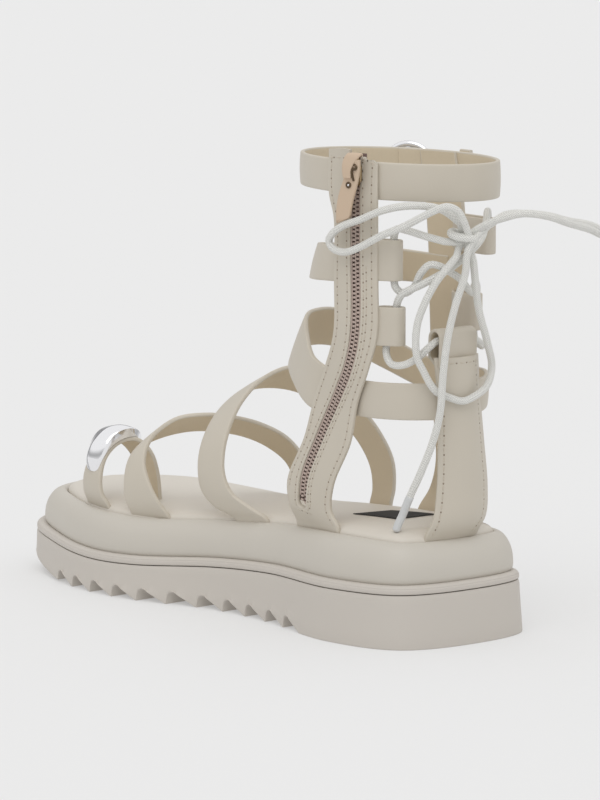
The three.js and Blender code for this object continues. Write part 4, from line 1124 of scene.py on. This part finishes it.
def tunnelMiddle(tip, inward):
    return Vector(tip) + Vector(inward).normalized() * tunnel["radius"]


def tunnelRows(root, tip, inward, acrossLow, acrossHigh):
    radius, folds = tunnel["radius"], tunnel["folds"]
    root, tip, inside = Vector(root), Vector(tip), Vector(inward).normalized()
    along = (tip - root).normalized()
    path = [root.lerp(tip, k / 6) for k in range(7)]
    for k in range(1, folds):
        turn = k / folds * math.pi
        path.append(tip + inside * (radius * (1 - math.cos(turn))) + along * (radius * math.sin(turn)))
    path.append(tip + inside * (2 * radius))
    path.append(root.lerp(tip, 0.35) + inside * (2 * radius))
    path.append(root + inside * 0.9)
    low, high = Vector(acrossLow), Vector(acrossHigh)
    return [[point + low.lerp(high, j / 6) for j in range(7)] for point in path]


# Four tunnels on the panel and the stay, then the loop at the heel: root, tip, inward and both edges.
laceTunnels = [
    ((-32.4, -101.4, 154.2), (-28.5, -109, 154.2), (0.88, 0.47, 0), (0, 0, -8.2), (0, 0, 8.2)),
    ((-32.4, -101.4, 127.8), (-27.9, -110, 127.8), (0.88, 0.47, 0), (0, 0, -7.8), (0, 0, 7.8)),
    ((34.2, -77, 160), (31.6, -102.4, 160), (-0.99, -0.1, 0), (0, 0, -7.4), (0, 0, 7.4)),
    ((34.2, -77, 128), (33.8, -92, 128), (-1, 0, 0), (0, 0, -7.6), (0, 0, 7.6)),
    ((-6.2, -125.6, 112), (-6.2, -125.9, 123.4), (0, 1, 0), (-10.8, 1.2, 0), (9, 1.2, 0)),
]


def makeShaft():
    front, rear, joint = panelHalves()
    top = zipSlot["rearTop"]
    for row in rear:
        for point in row:
            point.z = min(point.z, top)
    rear = [row for i, row in enumerate(rear) if i == 0 or any(p.z < top - 0.01 for p in row)]
    shift = len(front) - len(rear)
    corner, seamCorner = strapLook["corner"], 0.03
    pieces = [
        strapMesh("panelFront", front, ankleMiddle, lifts["panel"], crown=0.0,
                  corners=lambda i: (corner, seamCorner if joint[i] else corner)),
        strapMesh("panelRear", rear, ankleMiddle, lifts["panel"], crown=0.0,
                  corners=lambda i: (seamCorner if joint[i + shift] else corner, corner)),
    ]
    full, low, high = 360, collar["low"], collar["high"]
    frontLow, tailStep, keeper = collar["frontLow"], collar["tailStep"], collar["keeper"]
    for name, rows, middle, lift, crown in (
            ("collarRear", ringRows(246, 48, low, high, -0.4, 0.0), ankleMiddle, 0.0, 0.3),
            ("collarFront", ringRows(262, full + 44, frontLow, high, -0.4, 0.0), ankleMiddle, 0.0, 0.3),
            ("collarStep", ringRows(full + 43, full + 58, frontLow, high, 0.0, tailStep), ankleMiddle, 0.0, None),
            ("collarTail", ringRows(full + 57, full + collar["tailEnd"] - 6, frontLow, high - 0.4, tailStep, tip=True),
             ankleMiddle, 0.0, None),
            ("collarKeeper", ringRows(keeper, keeper + 7, low - 0.8, high + 0.8, 3.0), ankleMiddle, 0.0, None),
            ("shinStrap", sectionRows(shinStrapSections, 50), ankleMiddle, lifts["strap"], 0.3),
            ("heelStrapOuter", sectionRows(heelStrapOuterSections, 90), (0, -85, 105), lifts["strap"], 0.3),
            ("heelStrapInner", sectionRows(heelStrapInnerSections, 30), (0, -85, 98), lifts["innerStrap"], 0.3),
            ("heelCounter", sectionRows(counterSections, 40), counterMiddle, lifts["counter"], None),
            ("outerStay", sectionRows(staySections, 60), stayMiddle, lifts["stay"], None)):
        pieces.append(strapMesh(name, rows, middle, lift, crown=crown))
    for k, (root, tip, inward, lowEdge, highEdge) in enumerate(laceTunnels):
        lift = lifts["heelLoop"] if k == len(laceTunnels) - 1 else 0.0
        pieces.append(strapMesh(f"laceTunnel{k}", tunnelRows(root, tip, inward, lowEdge, highEdge),
                                tunnelMiddle(tip, inward), lift, thickness=tunnel["thickness"], crown=0.0))
    settle(joinPieces("upperStraps", pieces), "strap_leather", "upper")


makeShaft()
print("shaft ready")

# Beads on a path: one tree makes the stitches, the dark beads painted as shade in their holes, and the zip's coil.


def beadTree():
    tree = bpy.data.node_groups.new("beadsAlongPath", "GeometryNodeTree")
    face = tree.interface
    face.new_socket("Path", in_out="INPUT", socket_type="NodeSocketGeometry")
    face.new_socket("Pitch", in_out="INPUT", socket_type="NodeSocketFloat")
    face.new_socket("Bead size", in_out="INPUT", socket_type="NodeSocketVector")
    face.new_socket("Finish", in_out="INPUT", socket_type="NodeSocketMaterial")
    face.new_socket("Beads", in_out="OUTPUT", socket_type="NodeSocketGeometry")
    made = {}
    for key, kind, settings in (
            ("given", "NodeGroupInput", {}), ("curve", "GeometryNodeMeshToCurve", {}),
            ("even", "GeometryNodeResampleCurve", {"mode": "LENGTH"}), ("bead", "GeometryNodeMeshUVSphere", {}),
            ("facing", "GeometryNodeInputNamedAttribute", {"data_type": "FLOAT_VECTOR"}),
            ("tangent", "GeometryNodeInputTangent", {}),
            ("turn", "FunctionNodeAxesToRotation", {"primary_axis": "Z", "secondary_axis": "Y"}),
            ("place", "GeometryNodeInstanceOnPoints", {}), ("solid", "GeometryNodeRealizeInstances", {}),
            ("smooth", "GeometryNodeSetShadeSmooth", {}), ("paint", "GeometryNodeSetMaterial", {}),
            ("result", "NodeGroupOutput", {})):
        made[key] = tree.nodes.new(kind)
        for name, value in settings.items():
            setattr(made[key], name, value)
    made["bead"].inputs["Segments"].default_value = 8
    made["bead"].inputs["Rings"].default_value = 5
    made["bead"].inputs["Radius"].default_value = 0.5
    made["facing"].inputs["Name"].default_value = "facing"
    for start, output, end, into in (
            ("given", "Path", "curve", "Mesh"), ("curve", "Curve", "even", "Curve"),
            ("given", "Pitch", "even", "Length"), ("even", "Curve", "place", "Points"),
            ("bead", "Mesh", "place", "Instance"), ("facing", "Attribute", "turn", "Primary Axis"),
            ("tangent", "Tangent", "turn", "Secondary Axis"), ("turn", "Rotation", "place", "Rotation"),
            ("given", "Bead size", "place", "Scale"), ("place", "Instances", "solid", "Geometry"),
            ("solid", "Geometry", "smooth", "Geometry"), ("smooth", "Geometry", "paint", "Geometry"),
            ("given", "Finish", "paint", "Material"), ("paint", "Geometry", "result", "Beads")):
        tree.links.new(made[start].outputs[output], made[end].inputs[into])
    return tree


beads = beadTree()


def beadsOn(name, seams, pitch, size, finish, stagger=0.0):
    # seams are lists of (point, normal). stagger moves every bead on by that part of the pitch.
    vertices, edges, facings = [], [], []
    for seam in seams:
        points = [p for p, _ in seam]
        length = routeLength(points)
        step = length / max(1, round(length / pitch))
        first, last = stagger * step, length - (1 - stagger) * step if stagger else length
        count = max(2, int((last - first) / 0.8))
        travelled, k = 0.0, 0
        for i in range(count + 1):
            wanted = first + (last - first) * i / count
            while k < len(points) - 2 and travelled + (points[k + 1] - points[k]).length < wanted:
                travelled += (points[k + 1] - points[k]).length
                k += 1
            span = (points[k + 1] - points[k]).length
            w = (wanted - travelled) / span if span else 0
            if i:
                edges.append((len(vertices) - 1, len(vertices)))
            vertices.append(tuple(points[k].lerp(points[k + 1], w) * mm))
            facings.append(seam[k][1].lerp(seam[k + 1][1], max(0.0, min(1.0, w))).normalized())
    mesh = bpy.data.meshes.new(name + "Path")
    mesh.from_pydata(vertices, edges, [])
    facing = mesh.attributes.new("facing", "FLOAT_VECTOR", "POINT")
    facing.data.foreach_set("vector", [value for normal in facings for value in normal])
    path = bpy.data.objects.new(name + "Path", mesh)
    sceneNow.collection.objects.link(path)
    modifier = path.modifiers.new("beads", "NODES")
    modifier.node_group = beads
    given = {"Pitch": pitch * mm, "Bead size": tuple(value * mm for value in size), "Finish": finish}
    for item in beads.interface.items_tree:
        if item.in_out == "INPUT" and item.name in given:
            modifier[item.identifier] = given[item.name]
    depsgraph = bpy.context.evaluated_depsgraph_get()
    made = bpy.data.meshes.new_from_object(path.evaluated_get(depsgraph), depsgraph=depsgraph)
    made.name = name
    piece = bpy.data.objects.new(name, made)
    sceneNow.collection.objects.link(piece)
    bpy.data.objects.remove(path)
    return piece


# Stitches: a seam is a line on a strap's outer face, so many millimetres in from one edge.

# Between the stitches sit dark beads: painted shade in the stitch holes.
stitch = {"pitch": 3.35, "counterPitch": 3.75, "thread": (0.55, 2.1, 0.34), "hole": (0.7, 0.9, 0.18)}


def seamOn(rows, inside, distance, first, last, lift):
    normals = rowNormals(rows, inside)
    seam = []
    for row, line in list(zip(rows, normals))[first:last + 1]:
        point, normal = stepAcross(row, line, distance)
        seam.append((point + normal * lift, normal))
    return seam


def seamAcross(rows, inside, place, start, end, lift):
    # Across one row of a strap, between two distances from its first edge.
    normals = rowNormals(rows, inside)
    low = min(int(place), len(rows) - 2)
    row = [a.lerp(b, place - low) for a, b in zip(rows[low], rows[low + 1])]
    line = [a.lerp(b, place - low).normalized() for a, b in zip(normals[low], normals[low + 1])]
    total = routeLength(row)
    end = end if end > 0 else total + end
    seam = []
    for k in range(9):
        point, normal = stepAcross(row, line, start + (end - start) * k / 8)
        seam.append((point + normal * lift, normal))
    return seam


def rowAtHeight(rows, z, column=0):
    return min(range(len(rows)), key=lambda i: abs(rows[i][column].z - z))


def makeStitches():
    half = strapLook["thickness"] / 2
    front, rear, joint = panelHalves()
    panelTop = half + lifts["panel"]
    zipEnd = joint.index(True)
    top, bottom = rowAtHeight(rear, 191, 10), rowAtHeight(rear, 46, 10)
    panelSeams = [
        seamOn(rear, ankleMiddle, -2.4, top, bottom, panelTop),
        seamOn(rear, ankleMiddle, 1.5, top, zipEnd - 2, panelTop),
        seamOn(rear, ankleMiddle, 2.9, rowAtHeight(rear, 150, 0), zipEnd, panelTop),
        seamOn(front, ankleMiddle, -1.5, rowAtHeight(front, 186, 10), zipEnd - 2, panelTop),
        seamOn(front, ankleMiddle, 2.2, rowAtHeight(front, 193.5, 0), rowAtHeight(front, 60, 0), panelTop),
        seamAcross(front, ankleMiddle, rowAtHeight(front, 194.3, 0), 2.2, -1.6, panelTop),
        seamAcross(rear, ankleMiddle, top, 1.5, -2.4, panelTop),
    ]
    # Below the zip one seam runs on from the front half to the rear half.
    nearSide = seamAcross(front, ankleMiddle, zipEnd + 1, routeLength(front[zipEnd + 1]) - 3.4, -0.2, panelTop)
    farSide = seamAcross(rear, ankleMiddle, zipEnd + 2, 0.2, 3.0, panelTop)
    panelSeams.append(nearSide + farSide)

    counter = sectionRows(counterSections, 40)
    counterTop = half + lifts["counter"] + 0.12
    low = rowAtHeight(counter, 45)
    root, tip, inward, lowEdge, highEdge = laceTunnels[-1]
    loop = tunnelRows(root, tip, inward, lowEdge, highEdge)
    loopTop = tunnel["thickness"] / 2 + lifts["heelLoop"]
    stay = sectionRows(staySections, 60)
    stayTop = half + lifts["stay"] + 0.1
    counterSeams = [
        seamOn(counter, counterMiddle, 2.4, 1, low, counterTop),
        seamOn(counter, counterMiddle, -5.2, 1, low, counterTop),
        seamAcross(counter, counterMiddle, 1, 2.4, -5.2, counterTop + 0.06),
        seamAcross(loop, tunnelMiddle(tip, inward), 0.6, 1.6, -1.6, loopTop),
        seamOn(stay, stayMiddle, 2.4, 1, 52, stayTop),
        seamOn(stay, stayMiddle, -2.4, 1, 52, stayTop),
    ]
    rows = []
    for place, seams, pitch in (("Panel", panelSeams, stitch["pitch"]),
                                ("Counter", counterSeams, stitch["counterPitch"])):
        rows.append(beadsOn("threads" + place, seams, pitch, stitch["thread"], looks["thread"]))
        # The dark beads between the threads are painted shade in the stitch holes.
        rows.append(beadsOn("holes" + place, seams, pitch, stitch["hole"], looks["hole"], 0.5))
    settle(joinPieces("stitches", rows), "strap_leather")


makeStitches()
print("stitches ready")

# Zip: tape behind the opening, a coil of two staggered rows, and the leather pull.

zipLook = {
    "top": 187.5, "tapeTop": 196.5, "pitch": 1.65, "pod": (1.75, 1.15, 0.95), "rowOffset": 0.95, "sink": 0.1,
    # Offset and thickness of the cord down the middle and of the two beside the coil.
    "ridges": [(0, 0.55), (-1.95, 0.6), (1.95, 0.6)],
}
zipOutward = Vector((-0.97, -0.24, 0)).normalized()


def zipFrames(count, offset, depth, top=None, until=0.985):
    # Places down the zip with their outward directions, offset across it and lifted by depth.
    line = spline([(x, y, min(z, top or zipLook["top"])) for x, y, z in zipLine], 240)
    line = [p for i, p in enumerate(line) if i == 0 or (p - line[i - 1]).length > 1e-3]
    line = evenly(line, count)[:int(count * until)]
    frames = []
    for i, point in enumerate(line):
        tangent = (line[min(i + 1, len(line) - 1)] - line[max(i - 1, 0)]).normalized()
        across = tangent.cross(zipOutward).normalized()
        frames.append((point + across * offset + zipOutward * depth, zipOutward.copy()))
    return frames


def makeZip():
    half = zipSlot["tapeHalf"]
    edges = [zipFrames(160, half * side, -zipSlot["tapeDepth"], top=zipLook["tapeTop"], until=1.0) for side in (-1, 1)]
    rows = [[a.lerp(b, j / 4) for j in range(5)] for (a, _), (b, _) in zip(*edges)]
    pieces = [strapMesh("zipTape", rows, ankleMiddle, thickness=0.5, crown=0.0, materials=[looks["tape"]] * 3)]
    for side in (-1, 1):
        frames = zipFrames(400, side * zipLook["rowOffset"], -zipLook["sink"], until=1.0)
        stagger = 0.5 if side > 0 else 0.0
        pieces.append(beadsOn(f"zipCoil{side}", [frames], zipLook["pitch"], zipLook["pod"], looks["coil"], stagger))
    for offset, width in zipLook["ridges"]:
        path = [p for p, _ in zipFrames(150, offset, 0.0)]
        pieces.append(cordMesh(f"zipRidge{offset}", path, width, material=looks["coil"]))
    settle(joinPieces("zipCoil", pieces), "zip_coil", "zip_teeth")


makeZip()

pull = {
    "x": -35.2, "y": -95, "turn": 193.9, "in": 5.4, "thickness": 1.4, "flapThickness": 1.0,
    "outline": [(-0.8, 194.4), (-0.9, 191.5), (-1.3, 188.5), (-2.2, 185.6), (-3.4, 182.6), (-4.5, 179.4),
                (-5.2, 176), (-5.5, 172.6), (-5.55, 169.8), (-5.3, 168.9), (-4.7, 168.8), (-2.6, 169.7),
                (-0.6, 170.5), (0.7, 171.1), (1.4, 172.6),
                (1.8, 175), (2.4, 177.6), (3.2, 180.4), (4.1, 183), (4.8, 185.4), (5.4, 188), (5.8, 191), (5.9, 194.4)],
    # The leaf folded over the ring: outward, height, middle towards the heel, half its width.
    "flap": [(6.75, 187.2, 0.5, 1.9), (6.75, 189.4, 0.4, 2.1), (6.55, 191.6, 0.5, 2.5), (6.0, 193.6, 1.0, 3.0),
             (5.5, 195.2, 1.8, 3.3), (4.9, 196.1, 2.3, 3.4), (4.2, 196.5, 2.5, 3.4), (3.5, 196.4, 2.5, 3.3),
             (3.1, 196.0, 2.5, 3.2)],
    "hook": [(6.4, 3.4, 186.2), (6.6, 2.9, 188.2), (6.7, 2.7, 189.8), (6.7, 3.2, 190.9), (6.6, 4.3, 190.7),
             (6.4, 4.8, 191.5), (6.3, 4.1, 192.3), (6.0, 3.0, 192.6)],
    "post": [(2.2, 3.6, 185.8), (2.3, 3.7, 189), (2.6, 3.7, 192), (3.4, 3.3, 194.2), (4.3, 2.4, 194.9),
             (4.3, -0.4, 194.9)],
    "ring": (6.35, 0.9, 184.3), "ringRadius": 1.0, "ringCord": 0.66, "hookCord": 0.95, "postCord": 1.5,
}


def besideZip(point):
    # x outward from the panel, y towards the heel, z up, from the zip's line.
    turn = math.radians(pull["turn"])
    x, y, z = point
    return Vector((pull["x"] + x * math.cos(turn) - y * math.sin(turn),
                   pull["y"] + x * math.sin(turn) + y * math.cos(turn), z))


def slab(name, outline, near, far, corner, material, mapping):
    # A flat shape with rounded edges, its outline in two of the directions and its thickness in the third.
    points = [Vector((a, b, 0)) for a, b in outline]
    count = len(points)
    area = sum(a.x * b.y - b.x * a.y for a, b in zip(points, points[1:] + points[:1]))
    sign = 1 if area > 0 else -1
    inward = []
    for i in range(count):
        before, after = points[i - 1], points[(i + 1) % count]
        tangent = (after - before).normalized()
        inward.append(Vector((-tangent.y, tangent.x, 0)) * sign)
    flat, soft = corner + 0.5, corner * 0.3
    rings = [[mapping(p + n * inset, depth) for p, n in zip(points, inward)] for depth, inset in (
        (near, flat), (near, corner), (near + soft, soft), (near + corner, 0),
        (far - corner, 0), (far - soft, soft), (far, corner), (far + 0.05, flat))]
    vertices, faces = loft(rings)
    return makePiece(name, vertices, facingOut(vertices, faces), [material], sharp=60)


def makePull():
    near = pull["in"] - pull["thickness"] / 2
    tab = slab("pullTab", pull["outline"], near, near + pull["thickness"], 0.35, looks["pull"],
               lambda p, depth: besideZip((depth, p.x, p.y)))
    middle = besideZip((4.5, 1.5, 192))
    path = spline([(x, z, 0) for x, z, _, _ in pull["flap"]], 26)
    width = spline([(y, half, 0) for _, _, y, half in pull["flap"]], 26)
    rows = [[besideZip((p.x, w.x + w.y * (2 * j / 8 - 1), p.y)) for j in range(9)] for p, w in zip(path, width)]
    flap = strapMesh("pullFlap", rows, middle, thickness=pull["flapThickness"], crown=0.12,
                     materials=[looks["pull"]] * 3)
    settle(joinPieces("zipPullLeather", [tab, flap]), "pull_leather", "zip_tab", body="zip_pull")

    x, y, z = pull["ring"]
    turn = [besideZip((x, y + pull["ringRadius"] * math.cos(a), z + pull["ringRadius"] * math.sin(a)))
            for a in (2 * math.pi * k / 20 for k in range(20))]
    rivet = loft([[besideZip((x + out, y + reach * math.cos(a), z + reach * math.sin(a)))
                   for a in (2 * math.pi * k / 16 for k in range(16))]
                  for out, reach in ((-0.25, 0.5), (0.1, 0.5), (0.3, 0.4), (0.42, 0.15))])
    hook, post = (spline([besideZip(p) for p in pull[key]], 40) for key in ("hook", "post"))
    # The ring and the hook take the brass painted dark, as painted shade.
    metal = [
        cordMesh("pullRing", turn, pull["ringCord"], closed=True, material=looks["brassInPaintedShade"]),
        makePiece("pullRivet", rivet[0], facingOut(*rivet), [looks["chrome"]]),
        cordMesh("pullHook", hook, pull["hookCord"], material=looks["brassInPaintedShade"]),
        cordMesh("pullPost", post, pull["postCord"], material=looks["brass"]),
    ]
    settle(joinPieces("pullMetal", metal), "zip_brass", "zip_link", body="zip_pull")


makePull()
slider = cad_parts["zip_slider"]
slider.data.materials.clear()
slider.data.materials.append(looks["brass"])
print("zip ready")

# Buckle on the collar, ornament on the toe loop, patch on the insole.

buckle = {
    "angle": 52, "ring": 10.5, "thick": 1.5, "depth": 1.3, "out": 4.3, "z": 183.6, "bar": 1.1, "prong": 0.95,
    "prongLine": [(-0.5, 0.6), (4, 1.5), (8, 1.6), (11.4, 0.9)],
}


def ringMesh(name, centre, right, up, outward, radius, thick, depth, material, turns=48, sides=12):
    rings = []
    for i in range(turns):
        a = 2 * math.pi * i / turns
        spoke = right * math.cos(a) + up * math.sin(a)
        rings.append([centre + spoke * (radius + thick * math.cos(b)) + outward * (depth * math.sin(b))
                      for b in (2 * math.pi * k / sides for k in range(sides))])
    vertices, faces = loft(rings, cyclic=True)
    return makePiece(name, vertices, facingOut(vertices, faces), [material])


def makeBuckle():
    turn = math.radians(buckle["angle"])
    outward = Vector((math.sin(turn) / shaft["halfWidth"], math.cos(turn) / shaft["halfDepth"], 0)).normalized()
    up = Vector((0, 0, 1))
    right = up.cross(outward).normalized()
    centre = shaftPoint(buckle["angle"], buckle["z"]) + outward * buckle["out"]
    chrome = looks["chrome"]
    ring = ringMesh("buckleRing", centre, right, up, outward, buckle["ring"], buckle["thick"], buckle["depth"], chrome)
    upright = cordMesh("buckleBar", [centre + up * s for s in (-10, -5, 0, 5, 10)], 2 * buckle["bar"], material=chrome)
    line = [centre + right * across + outward * out for across, out in buckle["prongLine"]]
    prong = cordMesh("buckleProng", spline(line, 12), 2 * buckle["prong"], material=chrome)
    settle(joinPieces("collarBuckle", [ring, upright, prong]), "bright_metal", "buckle")


makeBuckle()

ornament = {
    "from": 0.316, "to": 0.64, "base": 0.95, "crease": 0.5,
    # Heights over the strap at the top of the wall that faces the heel, at the crease and at the toe edge.
    "heights": [(0.1, 0.6, 0.1), (0.6, 3.9, 0.8), (1.3, 4.9, 1.6), (2.4, 5.2, 3.4), (3.3, 5.5, 4.6), (3.6, 5.4, 4.9),
                (3.1, 4.4, 3.9), (0.5, 0.9, 0.6)],
    "leastHalf": 0.18, "swell": 0.36,
}


def makeOrnament():
    lines = [[Vector(section[j]) for section in toeLoopSections] for j in (0, 1)]
    heights = [Vector(row) for row in ornament["heights"]]
    rowCount, columns, crease = 44, 30, ornament["crease"]
    middle = Vector((-28, 68, 42))
    base, shell = [], []
    for i in range(rowCount + 1):
        u = i / rowCount
        t = ornament["from"] + (ornament["to"] - ornament["from"]) * u
        front, rear = (splinePoint(line, t) for line in lines)
        ahead = [splinePoint(line, t + 0.01) for line in lines]
        swell = math.sqrt(max(0.0, 1 - abs(2 * u - 1) ** 2.6))
        half = ornament["leastHalf"] + ornament["swell"] * swell
        out = (ahead[0] - front).cross(rear - front).normalized()
        if out.dot(front - middle) < 0:
            out = -out
        wall, ridge, foot = splinePoint(heights, u)
        baseRow, shellRow = [], []
        for j in range(columns + 1):
            v = j / columns
            place = rear.lerp(front, 0.5 + half * (2 * v - 1))
            if v < crease:
                height = wall + (ridge - wall) * (1 - (1 - v / crease) ** 1.7)
            else:
                height = ridge - (ridge - foot) * ((v - crease) / (1 - crease)) ** 1.35
            edge = math.sqrt(max(0.0, 1 - abs(2 * v - 1) ** 30))
            baseRow.append(place + out * ornament["base"])
            shellRow.append(place + out * (ornament["base"] + 0.12 + max(0.05, height) * edge))
        base.append(baseRow)
        shell.append(shellRow)
    rings = [top + bottom[::-1] for top, bottom in zip(shell, base)]
    vertices, faces = loft(rings)
    # The polished face, a narrow band of painted shade along the crease, and past it the side in darker metal as
    # painted shade.
    around = len(rings[0])
    last = round(crease * columns)
    slots = [0] * len(faces)
    for k in range(rowCount * around):
        slots[k] = 1 if last < k % around < columns else 2 if k % around == last else 0
    metals = [looks["chrome"], looks["shadedMetal"], looks["paintedCreaseShade"]]
    piece = makePiece("toeNugget", vertices, facingOut(vertices, faces), metals, slots, sharp=24)
    settle(piece, "bright_metal", "toe_ornament")


makeOrnament()

# A thin near-black sheet lies on the insole, inside the shaft.
patch = {"corners": [(-11.7, -66.1), (4.7, -71.3), (9.4, -93.4), (-11.1, -92.7)], "height": 2.62}


def makePatch():
    a, b, c, d = (Vector((x, y, 0)) for x, y in patch["corners"])
    rows = []
    for i in range(11):
        row = [a.lerp(d, i / 10).lerp(b.lerp(c, i / 10), j / 8) for j in range(9)]
        for point in row:
            point.z = crestAt(point.y) + patch["height"]
        rows.append(row)
    piece = strapMesh("insolePatch", rows, (0, -80, 0), thickness=0.3, crown=0.0, materials=[looks["patch"]] * 3)
    settle(piece, "insole_lining")


makePatch()
print("metal and patch ready")
